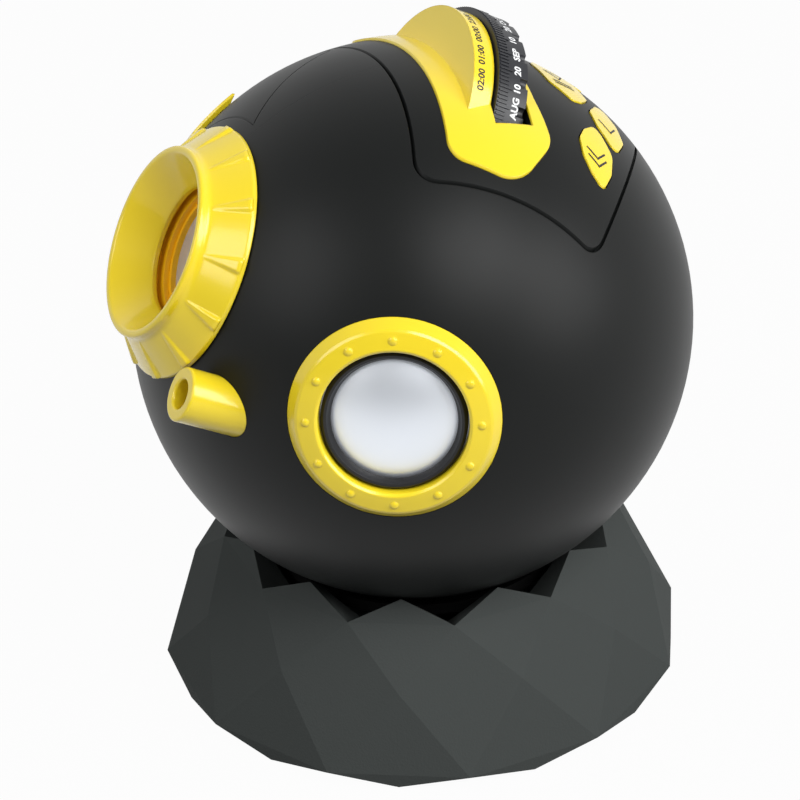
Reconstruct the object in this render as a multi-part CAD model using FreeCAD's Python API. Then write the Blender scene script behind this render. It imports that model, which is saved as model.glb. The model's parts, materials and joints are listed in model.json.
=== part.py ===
import FreeCAD, Part
import math
import os

Vec = FreeCAD.Vector

# Row frame: millimetres, +Z up, origin on the floor at the middle of the base.
# At rest the lens points to -Y and upward. The ball frame has its origin in the
# middle of the ball: a runs forward along the lens, b to the right, c upward.

# Driving dimensions of the ball
ball_radius = 80.0
shell_wall = 2.5
ball_lift = 30.3
lens_elevation = 28.8
side_gap = 0.3

# Base: rings of facet corners, each with its radius and its height
facet_count = 12
facet_phase = 4.0
floor_ring_radius = 76.0
floor_ring_height = 0.8
wide_ring_radius = 78.5
wide_ring_height = 4.9
mid_ring_height = 28.2
low_rim_radius = 58.6
low_rim_height = 43.6
high_rim_radius = 53.4
high_rim_height = 49.9
rim_slope_height = 10.0
base_wall = 3.0
base_boss_radius = 4.0
bowl_gap = 0.6
well_low_radius = 42.0
well_high_radius = 51.6
cavity_low_radius = 70.6
cavity_top = 36.0
cavity_top_radius = 57.6
base_floor_height = 14.0
plate_radius = 66.0
plate_thickness = 2.4
pad_radius = 62.0
pad_thickness = 1.8
pad_proud = 0.8
ballast_inner_radius = 30.0
ballast_outer_radius = 52.0
ballast_thickness = 7.0
base_screw_circle = 57.5
base_screw_radius = 1.5
base_screw_head_radius = 2.8
base_screw_head_height = 1.4
base_screw_length = 10.0
base_screw_count = 4
spigot_radius = 9.0
spigot_fit = 0.08
cradle_wall = 3.0
cradle_mouth_radius = 44.0
cradle_lift = 0.4
pad_count = 3
pad_disc_radius = 6.0
pad_disc_thickness = 1.6
pad_disc_angle = 24.0
retainer_radius = 14.0
retainer_thickness = 1.6

# Lens, its ring and its barrel, along the lens axis
ring_flange_radius = 35.4
ring_front_radius = 26.9
ring_front_rise = 4.7
ring_neck_radius = 26.6
ring_neck_rise = 1.6
ring_hole_radius = 17.9
ring_hole_sink = 5.7
ring_web = 1.4
ring_flange_edge = 1.6
ring_rib_count = 13
ring_rib_phase = 15.3
ring_rib_width = 2.6
ring_rib_height = 0.9
lens_opening_radius = 31.0
collar_outer_radius = 38.0
collar_sink = 17.5
barrel_bore_radius = 21.2
barrel_outer_radius = 23.2
barrel_flange_thickness = 2.4
barrel_length = 11.5
skirt_outer_radius = 26.8
skirt_gap = 0.9
skirt_fit = 0.08
cell_bore_radius = 17.4
cell_fit = 0.06
cell_inset = 1.7
cell_length = 9.6
front_lens_inset = 3.6
front_lens_edge = 2.6
front_lens_bulge = 1.4
rear_lens_radius = 14.0
rear_lens_edge = 1.6
lens_retainer_length = 1.8
cam_pin_radius = 1.1
cam_slot_length = 9.0
lens_travel_back = 4.0
lens_travel_front = 1.0
barrel_screw_circle = 34.6

# Speakers, one on each side
speaker_forward = 0.428
speaker_down = 0.057
bezel_outer_radius = 28.1
bezel_inner_radius = 19.8
bezel_face_sink = 0.4
bezel_crease_radius = 25.4
bezel_crease_drop = 1.1
bezel_bump_count = 12
bezel_bump_circle = 22.9
bezel_bump_radius = 1.15
bezel_bump_height = 0.55
driver_seat_drop = 4.2
surround_radius = 19.3
surround_thickness = 2.2
cone_radius = 17.0
cone_rise = 3.6
cone_thickness = 0.8
basket_length = 12.0
magnet_radius = 14.0
magnet_length = 9.0

# Shooting star tube
tube_right = 39.5
tube_down = 24.8
tube_outer_radius = 7.4
tube_bore_radius = 4.0
tube_front_reach = 12.4
tube_rear_reach = 13.0
tube_lamp_radius = 2.5
tube_lamp_length = 8.0

# Control panel on top
panel_front = 43.3
panel_side_half = 43.0
panel_corner_radius = 8.0
panel_rear_half = 60.4
panel_rear = -5.3
panel_rear_radius = 5.0
panel_nose_half = 6.0
panel_nose = -36.6
panel_nose_radius = 15.0
panel_groove = 0.9
panel_step = 2.2
panel_step_depth = 1.2

# Dial housing and date wheel
gear_module = 1.0
date_gear_teeth = 46
pinion_teeth = 12
sky_gear_teeth = 46
gear_backlash = 0.12
dial_front = 36.0
dial_front_half = 40.2
dial_front_radius = 8.0
dial_side = 18.4
dial_side_half = 49.6
dial_side_radius = 8.0
dial_rear = 7.6
dial_rear_half = 37.6
dial_rear_radius = 8.0
dial_waist = 9.3
dial_waist_half = 22.0
dial_waist_radius = 30.0
dial_proud = 0.7
hump_radius = 29.8
hump_front = 29.6
hump_rear = 23.2
hump_wall = 2.2
wheel_radius = 31.4
wheel_front = 22.6
wheel_rear = 13.2
wheel_rim = 3.0
wheel_web = 2.4
wheel_notch_count = 24
wheel_notch_radius = 1.5
wheel_notch_length = 2.6
slot_half = 32.4
slot_front = 23.2
slot_rear = 12.4
date_gear_width = 3.4
date_gear_gap = 0.4
axle_radius = 2.5
axle_fit = 0.06
axle_rear = 4.2
ear_thickness = 3.0
ear_half_width = 6.0

# Gear frame, sky ring and drawer, planes along the lens axis
frame_inset = 17.1
frame_thickness = 3.2
frame_disc_radius = 36.0
frame_arm_width = 9.0
frame_boss_radius = 3.6
frame_screw_radius = 1.3
frame_screw_length = 8.0
sky_hub_radius = 19.6
sky_hub_bore = 17.0
sky_gear_width = 3.6
sky_fit = 0.08
plane_gap = 0.3
idler_shaft_radius = 1.5
idler_fit = 0.05
idler_ear_thickness = 2.6
tray_thickness = 3.0
tray_half_height = 26.0
tray_right_end = 27.0
disc_radius = 24.4
disc_fit = 0.15
disc_thickness = 1.2
tray_lip = 1.6
drawer_turn = 40.0
drawer_front_below = 6.8
drawer_front_above = 13.8
drawer_front_half = 27.4
drawer_bezel_gap = 1.2
drawer_grip_inner = 38.5
drawer_grip_width = 7.6
drawer_grip_edge = 0.6
drawer_grip_proud = 1.9
drawer_travel = 75.0
rail_thickness = 1.6
rail_gap = 0.3

# Lamp
condenser_radius = 16.5
condenser_holder_wall = 1.8
condenser_inset = 11.4
condenser_edge = 2.4
condenser_bulge = 4.6
holder_length = 20.4
lamp_board_thickness = 1.6
lamp_emitter_half = 2.6
lamp_emitter_height = 1.8
heatsink_radius = 18.0
heatsink_base = 3.0
heatsink_depth = 14.0
fin_thickness = 1.4
fin_count = 7

# Motor
motor_angle = -30.0
motor_radius = 9.0
motor_length = 18.0
motor_shaft_radius = 1.0

# Boards, batteries and jacks
key_board_drop = 24.6
key_board_thickness = 1.6
key_board_half = 41.0
key_board_front = 1.5
key_board_rear = -25.0
key_switch_side = 6.0
key_switch_height = 3.6
key_plunger_radius = 1.7
key_plunger_height = 0.6
key_stroke_gap = 0.15
button_proud = 0.35
button_cap_depth = 4.2
button_flange = 0.7
button_clearance = 0.3
button_stem_radius = 2.2
button_travel = 1.0
main_board_half = 28.0
main_board_gap = 14.0
main_board_thickness = 1.6
main_board_standoff = 2.4
battery_radius = 7.1
battery_length = 49.0
battery_pitch = 15.0
battery_count = 3
battery_inset = 30.0
battery_low = 2.0
battery_wall = 1.8
battery_clearance = 0.35
contact_thickness = 0.6
door_half = 26.0
door_low = -8.0
door_high = 40.0
door_corner = 5.0
door_gap = 0.3
door_grip_count = 5
door_screw_up = 36.5
door_screw_sink = 1.59
door_screw_length = 8.0
door_screw_head_radius = 2.4
jack_right = 38.0
aux_up = 8.0
power_up = -8.0
aux_bore_radius = 1.8
aux_bore_length = 12.0
power_bore_radius = 2.9
power_pin_radius = 1.0
jack_body_half = 4.6
jack_length = 13.0
jack_recess = 0.11

# Derived values
inner_radius = ball_radius - shell_wall
ball_centre_height = ball_radius + ball_lift
ring_front_depth = ball_radius + ring_front_rise
ring_neck_depth = ball_radius + ring_neck_rise
ring_hole_depth = ball_radius - ring_hole_sink
collar_depth = ball_radius - collar_sink
barrel_rear = collar_depth - barrel_flange_thickness
barrel_front_depth = barrel_rear + barrel_length
skirt_depth = collar_depth + skirt_gap
cell_rear_depth = barrel_rear + cell_inset
cell_front_depth = cell_rear_depth + cell_length
front_lens_depth = cell_rear_depth + front_lens_inset
bezel_face_depth = ball_radius - bezel_face_sink
bezel_crease_depth = bezel_face_depth - bezel_crease_drop
driver_seat_depth = bezel_face_depth - driver_seat_drop
tube_surface_depth = math.sqrt(ball_radius ** 2 - tube_right ** 2 - tube_down ** 2)
tube_front_depth = tube_surface_depth + tube_front_reach
tube_rear_depth = tube_surface_depth - tube_rear_reach
frame_rear = collar_depth - frame_inset
condenser_depth = frame_rear - condenser_inset
holder_rear = frame_rear - holder_length
key_board_height = ball_radius - key_board_drop
battery_plane = battery_inset - ball_radius
main_board_plane = battery_plane + main_board_gap
door_screw_seat = math.sqrt(ball_radius ** 2 - door_screw_up ** 2) - door_screw_sink
jack_corner = math.hypot(jack_right + jack_body_half + side_gap, aux_up + jack_body_half)
jack_face_depth = math.sqrt((ball_radius - jack_recess) ** 2 - jack_corner ** 2)
idler_height = gear_module * (sky_gear_teeth + pinion_teeth) / 2.0
dial_axis_height = idler_height + gear_module * (date_gear_teeth + pinion_teeth) / 2.0
frame_front = frame_rear + frame_thickness
sky_gear_rear = frame_front + plane_gap
sky_gear_front = sky_gear_rear + sky_gear_width
tray_rear = sky_gear_front + plane_gap
tray_front = tray_rear + tray_thickness
drawer_front_low = tray_rear - drawer_front_below
drawer_front_high = tray_front + drawer_front_above
date_gear_rear = wheel_front + date_gear_gap
date_gear_front = date_gear_rear + date_gear_width
ring_flange_depth = math.sqrt(ball_radius ** 2 - ring_flange_radius ** 2)
half_step = math.pi / facet_count


def solid_ball(radius):
    return Part.makeSphere(radius)


def rod(radius, rear, front, right=0.0, up=0.0):
    """Cylinder along the lens axis from depth rear to depth front."""
    return Part.makeCylinder(radius, front - rear, Vec(right, -rear, up), Vec(0, -1, 0))


def tube(outer, inner, rear, front, right=0.0, up=0.0):
    return rod(outer, rear, front, right, up).cut(rod(inner, rear - 1, front + 1, right, up))


def block(a0, a1, b0, b1, c0, c1):
    return Part.makeBox(b1 - b0, a1 - a0, c1 - c0, Vec(b0, -a1, c0))


def union(shapes):
    result = shapes[0]
    for shape in shapes[1:]:
        result = result.fuse(shape)
    return result.removeSplitter()


def spin(profile, axis_is_lens=True):
    """Turn a closed list of (depth, radius) corners about the lens axis."""
    corners = [Vec(radius, -depth, 0) for depth, radius in profile]
    face = Part.Face(Part.makePolygon(corners + [corners[0]]))
    return face.revolve(Vec(0, 0, 0), Vec(0, 1, 0), 360)


def spin_up(profile):
    """Turn a closed list of (height, radius) corners about the Z axis."""
    corners = [Vec(radius, 0, height) for height, radius in profile]
    face = Part.Face(Part.makePolygon(corners + [corners[0]]))
    return face.revolve(Vec(0, 0, 0), Vec(0, 0, 1), 360)


def prism_up(wire, low, high):
    """Prism along c over a wire that lies in the plane c = 0."""
    face = Part.Face(wire)
    face.translate(Vec(0, 0, low))
    return face.extrude(Vec(0, 0, high - low))


def grown(wire, amount):
    return wire.makeOffset2D(amount)


def rounded(points, radii):
    """Closed wire through (b, a) corners, each rounded by its own arc."""
    count = len(points)
    starts = []
    ends = []
    middles = []
    for index, corner in enumerate(points):
        here = Vec(corner[0], -corner[1], 0)
        before = Vec(points[index - 1][0], -points[index - 1][1], 0)
        following = points[(index + 1) % count]
        after = Vec(following[0], -following[1], 0)
        to_before = (before - here).normalize()
        to_after = (after - here).normalize()
        half = to_before.getAngle(to_after) / 2.0
        reach = radii[index] / math.tan(half)
        inward = (to_before + to_after).normalize()
        middle = here + inward * (radii[index] / math.sin(half) - radii[index])
        starts.append(here + to_before * reach)
        ends.append(here + to_after * reach)
        middles.append(middle)
    edges = []
    for index in range(count):
        edges.append(Part.Arc(starts[index], middles[index], ends[index]).toShape())
        following = (index + 1) % count
        edges.append(Part.LineSegment(ends[index], starts[following]).toShape())
    return Part.Wire(edges)


def mirrored_outline(right_half):
    """Complete an outline that is symmetric about b = 0."""
    left_half = [(-b, a, r) for b, a, r in reversed(right_half)]
    full = right_half + left_half
    return rounded([(b, a) for b, a, r in full], [r for b, a, r in full])


def panel_outline():
    return mirrored_outline([
        (panel_side_half, panel_front, panel_corner_radius),
        (panel_rear_half, panel_rear, panel_rear_radius),
        (panel_nose_half, panel_nose, panel_nose_radius),
    ])


def dial_outline():
    return mirrored_outline([
        (dial_front_half, dial_front, dial_front_radius),
        (dial_side_half, dial_side, dial_side_radius),
        (dial_rear_half, dial_rear, dial_rear_radius),
        (dial_waist_half, dial_waist, dial_waist_radius),
    ])


def layer(inner, outer, prism):
    return prism.common(solid_ball(outer)).cut(solid_ball(inner))


def gear(teeth, rear, front, right, up, bore, phase=0.0):
    """Spur gear with straight-sided teeth, its axis parallel to the lens."""
    pitch = gear_module * teeth / 2.0
    tip = pitch + gear_module * 0.95
    root = pitch - gear_module * 1.2
    step = 2.0 * math.pi / teeth
    thin = gear_backlash / pitch
    corners = []
    for tooth in range(teeth):
        middle = phase + tooth * step
        for angle, radius in (
            (-step * 0.36 + thin, root),
            (-step * 0.13 + thin * 0.5, tip),
            (step * 0.13 - thin * 0.5, tip),
            (step * 0.36 - thin, root),
        ):
            turn = middle + angle
            corners.append(Vec(right + radius * math.sin(turn), -rear, up + radius * math.cos(turn)))
    face = Part.Face(Part.makePolygon(corners + [corners[0]]))
    solid = face.extrude(Vec(0, rear - front, 0))
    if bore > 0:
        solid = solid.cut(rod(bore, rear - 1, front + 1, right, up))
    return solid


def speaker_direction(side):
    across = math.sqrt(1.0 - speaker_forward ** 2 - speaker_down ** 2)
    return Vec(side * across, -speaker_forward, -speaker_down)


def toward_speaker(shape, side):
    """Carry a shape from the Z axis to the speaker's axis."""
    turn = FreeCAD.Rotation(Vec(0, 0, 1), speaker_direction(side))
    shape = shape.copy()
    shape.Placement = FreeCAD.Placement(Vec(0, 0, 0), turn).multiply(shape.Placement)
    return shape


def place_ball(shape):
    """Carry a shape from the ball frame to the row frame."""
    shape = shape.copy()
    shape.rotate(Vec(0, 0, 0), Vec(1, 0, 0), -lens_elevation)
    shape.translate(Vec(0, 0, ball_centre_height))
    return shape


# Base

def ring_corners(radius, height, offset):
    corners = []
    for index in range(facet_count):
        turn = math.radians(facet_phase) + (index + offset) * 2.0 * half_step
        corners.append(Vec(radius * math.sin(turn), -radius * math.cos(turn), height))
    return corners


def flat_face(corners):
    return Part.Face(Part.makePolygon(corners + [corners[0]]))


def mid_ring_radius():
    """Radius that keeps the tall kites of the base flat."""
    share = (low_rim_height - mid_ring_height) / (low_rim_height - wide_ring_height)
    on_kite = low_rim_radius + share * (wide_ring_radius - low_rim_radius)
    return on_kite / math.cos(half_step)


def faceted_body():
    floor_ring = ring_corners(floor_ring_radius, floor_ring_height, 0.0)
    wide_ring = ring_corners(wide_ring_radius, wide_ring_height, 0.5)
    mid_ring = ring_corners(mid_ring_radius(), mid_ring_height, 0.0)
    low_rim = ring_corners(low_rim_radius, low_rim_height, 0.5)
    high_rim = ring_corners(high_rim_radius, high_rim_height, 0.0)
    crown = Vec(0, 0, rim_slope_height)
    faces = [flat_face(list(reversed(floor_ring)))]
    for index in range(facet_count):
        after = (index + 1) % facet_count
        before = index - 1
        kite = [low_rim[index], mid_ring[index], wide_ring[index], mid_ring[after]]
        faces.append(flat_face(kite))
        faces.append(flat_face([high_rim[index], low_rim[before], low_rim[index]]))
        faces.append(flat_face([low_rim[before], mid_ring[index], low_rim[index]]))
        faces.append(flat_face([mid_ring[index], wide_ring[before], wide_ring[index]]))
        faces.append(flat_face([wide_ring[index], floor_ring[index], floor_ring[after]]))
        faces.append(flat_face([floor_ring[index], wide_ring[index], wide_ring[before]]))
        faces.append(flat_face([crown, high_rim[index], low_rim[index]]))
        faces.append(flat_face([crown, low_rim[index], high_rim[after]]))
    shell = Part.makeShell(faces)
    solid = Part.makeSolid(shell)
    if solid.Volume < 0:
        solid.reverse()
    return solid


def base_screw_places():
    places = []
    for index in range(base_screw_count):
        turn = math.radians(45.0) + index * 2.0 * math.pi / base_screw_count
        places.append((base_screw_circle * math.cos(turn), base_screw_circle * math.sin(turn)))
    return places


plate_low = pad_proud
plate_high = plate_low + plate_thickness
shelf_low = base_floor_height
shelf_high = base_floor_height + base_wall


def base_shell():
    body = faceted_body()
    bowl = solid_ball(ball_radius + bowl_gap)
    bowl.translate(Vec(0, 0, ball_centre_height))
    well = spin_up([(shelf_high, 0), (shelf_high, well_low_radius), (high_rim_height + 6.0, well_high_radius),
                    (high_rim_height + 6.0, 0)])
    cup = spin_up([(shelf_low, 0), (shelf_low, well_low_radius + base_wall),
                   (high_rim_height + 6.0, well_high_radius + base_wall), (high_rim_height + 6.0, 0)])
    cavity = spin_up([(-1.0, 0), (-1.0, plate_radius + side_gap), (plate_high, plate_radius + side_gap),
                      (plate_high, cavity_low_radius), (cavity_top, cavity_top_radius), (cavity_top, 0)])
    shell = body.cut(cavity)
    bosses = [cup.common(body)]
    for x, y in base_screw_places():
        boss = Part.makeCylinder(base_boss_radius, cavity_top - plate_high, Vec(x, y, plate_high))
        bosses.append(boss)
    shell = union([shell] + bosses).cut(well).cut(bowl)
    shell = shell.cut(Part.makeCylinder(spigot_radius + spigot_fit, 60.0, Vec(0, 0, 0)))
    for x, y in base_screw_places():
        shell = shell.cut(Part.makeCylinder(base_screw_radius, base_screw_length, Vec(x, y, 0)))
    return shell


def base_plate():
    plate = Part.makeCylinder(plate_radius, plate_thickness, Vec(0, 0, plate_low))
    seat = Part.makeCylinder(pad_radius + side_gap, pad_thickness - pad_proud, Vec(0, 0, 0))
    plate = plate.cut(seat)
    for x, y in base_screw_places():
        plate = plate.cut(Part.makeCylinder(base_screw_radius + 0.1, 9.0, Vec(x, y, 0)))
        head = Part.makeCylinder(base_screw_head_radius + 0.1, base_screw_head_height, Vec(x, y, pad_thickness - pad_proud))
        plate = plate.cut(head)
    return plate


def base_pad():
    return Part.makeCylinder(pad_radius, pad_thickness - pad_proud, Vec(0, 0, 0))


def base_ballast():
    ring = Part.makeCylinder(ballast_outer_radius, ballast_thickness, Vec(0, 0, plate_high))
    return ring.cut(Part.makeCylinder(ballast_inner_radius, 40.0, Vec(0, 0, -5.0)))


def base_screws():
    screws = []
    for x, y in base_screw_places():
        low = pad_thickness - pad_proud
        head = Part.makeCylinder(base_screw_head_radius, base_screw_head_height - 0.1, Vec(x, y, low))
        head = head.cut(Part.makeBox(1.0, 4.0, 0.6, Vec(x - 0.5, y - 2.0, low)))
        shank = Part.makeCylinder(base_screw_radius, base_screw_length - low, Vec(x, y, low))
        screws.append(head.fuse(shank).cut(Part.makeBox(1.0, 4.0, 0.6, Vec(x - 0.5, y - 2.0, low))))
    return Part.makeCompound(screws)


# Cradle that carries the ball and turns in the base

def cradle_cup():
    seat_radius = ball_radius + pad_disc_thickness + side_gap
    outer = solid_ball(seat_radius + cradle_wall)
    outer.translate(Vec(0, 0, ball_centre_height))
    inner = solid_ball(seat_radius)
    inner.translate(Vec(0, 0, ball_centre_height))
    cup_low = ball_centre_height - seat_radius - cradle_wall
    mouth = Part.makeCylinder(cradle_mouth_radius, 60.0, Vec(0, 0, shelf_high + cradle_lift))
    cup = outer.cut(inner).common(mouth)
    column = Part.makeCylinder(spigot_radius + 5.0, cup_low + 2.0 - shelf_high - cradle_lift,
                               Vec(0, 0, shelf_high + cradle_lift))
    spigot = Part.makeCylinder(spigot_radius, shelf_high + 2.0 - shelf_low + 1.0, Vec(0, 0, shelf_low - 1.0))
    cup = union([cup, column.cut(inner), spigot])
    cup = cup.cut(Part.makeCylinder(base_screw_radius, 12.0, Vec(0, 0, shelf_low - 2.0)))
    for disc in cradle_pad_discs(0.05):
        cup = cup.cut(disc)
    return cup


def cradle_pad_discs(extra):
    discs = []
    for index in range(pad_count):
        outer = solid_ball(ball_radius + side_gap + pad_disc_thickness + 0.6)
        inner = solid_ball(ball_radius + side_gap)
        puck = Part.makeCylinder(pad_disc_radius + extra, 120.0, Vec(0, 0, 0), Vec(0, 0, -1))
        puck.rotate(Vec(0, 0, 0), Vec(0, 1, 0), pad_disc_angle)
        puck.rotate(Vec(0, 0, 0), Vec(0, 0, 1), 90.0 + index * 360.0 / pad_count)
        disc = puck.common(outer).cut(inner)
        disc.translate(Vec(0, 0, ball_centre_height))
        discs.append(disc)
    return discs


def cradle_pads():
    return Part.makeCompound(cradle_pad_discs(0.0))


def cradle_retainer():
    low = shelf_low - 1.0 - retainer_thickness
    washer = Part.makeCylinder(retainer_radius, retainer_thickness, Vec(0, 0, low))
    head = Part.makeCylinder(3.2, 1.6, Vec(0, 0, low - 1.6))
    shank = Part.makeCylinder(base_screw_radius, 8.0, Vec(0, 0, low - 1.0))
    return union([washer, head, shank])


# Ball shells, panel and dial housing

def door_outline():
    return rounded([(-door_half, door_low), (door_half, door_low), (door_half, door_high),
                    (-door_half, door_high)], [door_corner] * 4)


def door_prism(extra):
    """Prism along the lens axis behind the ball, for the battery door."""
    wire = door_outline()
    if extra != 0:
        wire = grown(wire, extra)
    face = Part.Face(wire)
    face.rotate(Vec(0, 0, 0), Vec(1, 0, 0), -90)
    face.translate(Vec(0, 20.0, 0))
    return face.extrude(Vec(0, 90.0, 0))


def toward_drawer(shape):
    """Turn a shape made for the left side to the side the drawer opens on."""
    shape = shape.copy()
    shape.rotate(Vec(0, 0, 0), Vec(0, 1, 0), drawer_turn)
    return shape


def drawer_opening(extra):
    opening = block(drawer_front_low - extra, drawer_front_high + extra, -ball_radius - 9.0, -26.0,
                    -drawer_front_half - extra, drawer_front_half + extra)
    beside = Part.makeCylinder(bezel_outer_radius + drawer_bezel_gap - extra, 120.0)
    return toward_drawer(opening).cut(toward_speaker(beside, -1))


def button_outlines():
    """Right-hand button outlines by name, as corners (b, a) with radii."""
    return {
        "play_button": ([(-6.4, -1.4), (6.4, -1.4), (14.0, -6.6), (12.6, -10.4), (7.8, -14.8),
                         (-7.8, -14.8), (-12.6, -10.4), (-14.0, -6.6)],
                        [4.0, 4.0, 1.6, 2.6, 3.4, 3.4, 2.6, 1.6]),
        "speed": ([(15.2, -12.2), (22.0, -12.4), (30.6, -16.6), (22.6, -22.4), (13.8, -23.4),
                   (6.6, -21.6), (8.4, -17.6)],
                  [2.6, 4.0, 2.2, 4.0, 4.0, 2.0, 2.0]),
        "volume": ([(23.6, -10.4), (27.2, -5.6), (31.2, -3.0), (36.8, -2.9), (41.4, -4.8),
                    (45.4, -8.4), (39.8, -12.2), (32.6, -14.4), (26.2, -12.2)],
                   [1.6, 3.0, 3.0, 4.0, 4.0, 1.8, 5.0, 5.0, 2.0]),
    }


def button_wire(name):
    outlines = button_outlines()
    if name == "play_button":
        points, radii = outlines[name]
        return rounded(points, radii)
    kind, side = name.split("_")[0], name.split("_")[1]
    points, radii = outlines[kind]
    if side == "left":
        points = [(-b, a) for b, a in reversed(points)]
        radii = list(reversed(radii))
    return rounded(points, radii)


button_names = ["play_button", "speed_right_button", "speed_left_button",
                "volume_right_button", "volume_left_button"]


def button_centre(name):
    centre = Part.Face(button_wire(name)).CenterOfMass
    return centre.x, -centre.y


def button_shape(name):
    prism = prism_up(button_wire(name), 30.0, 90.0)
    crown_radius = ball_radius + button_proud
    cap = layer(crown_radius - button_cap_depth, crown_radius, prism)
    wide = prism_up(grown(button_wire(name), button_flange), 30.0, 90.0)
    lip_top = inner_radius - side_gap - 0.1
    lip = layer(lip_top - 1.4, lip_top, wide)
    b, a = button_centre(name)
    switch_top = key_board_height + key_board_thickness + key_switch_height + key_plunger_height
    stem_low = switch_top + button_travel + key_stroke_gap
    stem = Part.makeCylinder(button_stem_radius, 60.0, Vec(b, -a, stem_low))
    stem = stem.common(solid_ball(inner_radius - 1.2))
    return union([cap, lip, stem])


def button_holes():
    holes = []
    for name in button_names:
        wire = grown(button_wire(name), button_clearance)
        holes.append(prism_up(wire, 30.0, 95.0))
    return holes


def dial_slot():
    return block(slot_rear, slot_front, -slot_half, slot_half, 40.0, 95.0)


def panel_window():
    """Opening in the panel under the hump and the wheel."""
    wide = block(slot_rear - 0.4, hump_front - hump_wall, -slot_half, slot_half, 30.0, 95.0)
    half = ear_half_width + 0.3
    narrow = block(slot_rear - ear_thickness - 0.6, hump_front + 0.3, -half, half, 30.0, 95.0)
    return wide.fuse(narrow).removeSplitter()


def shell_pair():
    ball = solid_ball(ball_radius).cut(solid_ball(inner_radius))
    collar = tube(collar_outer_radius, lens_opening_radius, collar_depth, ball_radius)
    collar = collar.common(solid_ball(ball_radius))
    bosses = [collar]
    for right, up in frame_boss_places():
        boss = rod(frame_boss_radius, frame_front, ball_radius, right, up)
        bosses.append(boss.common(solid_ball(inner_radius + 0.5)))
    ball = union([ball] + bosses)
    ball = ball.cut(rod(lens_opening_radius, 0.0, 90.0))
    panel_wire = panel_outline()
    through = prism_up(grown(panel_wire, -panel_step), 20.0, 95.0)
    ledge = layer(ball_radius - panel_step_depth - 0.1, ball_radius + 5.0,
                  prism_up(grown(panel_wire, panel_groove), 20.0, 95.0))
    ball = ball.cut(through).cut(ledge)
    for side in (-1, 1):
        hole = toward_speaker(Part.makeCylinder(bezel_outer_radius - 2.6, 90.0), side)
        seat = toward_speaker(Part.makeCylinder(bezel_outer_radius + 0.05, 30.0,
                                                Vec(0, 0, driver_seat_depth - 1.6)), side)
        ball = ball.cut(hole).cut(seat.cut(solid_ball(ball_radius - 1.6)))
    ball = ball.cut(rod(tube_outer_radius + 0.1, tube_rear_depth, 90.0, tube_right, -tube_down))
    ball = ball.cut(drawer_opening(0.35))
    ball = ball.cut(door_prism(door_gap))
    ball = ball.cut(block(-90.0, -50.0, jack_right - jack_body_half - 0.3, jack_right + jack_body_half + 0.3,
                          power_up - jack_body_half - 0.3, aux_up + jack_body_half + 0.3))
    for right, up in frame_boss_places():
        depth = frame_front + frame_screw_length - frame_thickness
        ball = ball.cut(rod(frame_screw_radius, frame_front - 1.0, depth, right, up))
    for right, up in barrel_screw_places():
        ball = ball.cut(rod(frame_screw_radius, collar_depth - 1.0, collar_depth + 5.6, right, up))
    return ball


def half_ball(whole, side):
    half = block(-100.0, 100.0, 0.0, 100.0, -100.0, 100.0)
    if side < 0:
        half = block(-100.0, 100.0, -100.0, 0.0, -100.0, 100.0)
    return whole.common(half)


def top_panel():
    wire = panel_outline()
    panel = layer(inner_radius, ball_radius, prism_up(wire, 20.0, 95.0))
    plug = prism_up(grown(wire, -panel_step - 0.15), 15.0, 99.0)
    below_lip = solid_ball(ball_radius - panel_step_depth).cut(plug)
    panel = panel.cut(below_lip)
    panel = panel.cut(panel_window())
    for hole in button_holes():
        panel = panel.cut(hole)
    return panel


def dial_housing():
    plate = layer(ball_radius, ball_radius + dial_proud, prism_up(dial_outline(), 20.0, 95.0))
    hump = rod(hump_radius, hump_rear, hump_front, 0.0, dial_axis_height)
    hump = hump.cut(solid_ball(ball_radius))
    below = block(-90.0, 90.0, -90.0, 90.0, -90.0, dial_axis_height)
    hump = hump.cut(below)
    body = plate.fuse(hump).removeSplitter()
    hollow = rod(hump_radius - hump_wall, hump_rear - 1.0, hump_front - hump_wall, 0.0, dial_axis_height)
    body = body.cut(hollow)
    body = body.cut(dial_slot())
    front_boss = rod(axle_radius + 2.4, date_gear_front + side_gap, hump_front - hump_wall + 0.6,
                     0.0, dial_axis_height)
    front_wall = block(hump_front - hump_wall, hump_front, -ear_half_width, ear_half_width,
                       dial_axis_height - 6.0, ball_radius - 3.0)
    rear_wall = block(slot_rear - 0.2 - ear_thickness, slot_rear - 0.2, -ear_half_width, ear_half_width,
                      dial_axis_height - 6.0, ball_radius - 1.0)
    body = union([body, front_boss, front_wall, rear_wall])
    body = body.cut(rod(axle_radius + 0.02, axle_rear, hump_front - hump_wall + 1.2, 0.0, dial_axis_height))
    return body


# Focus ring, barrel and lens cell

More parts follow.
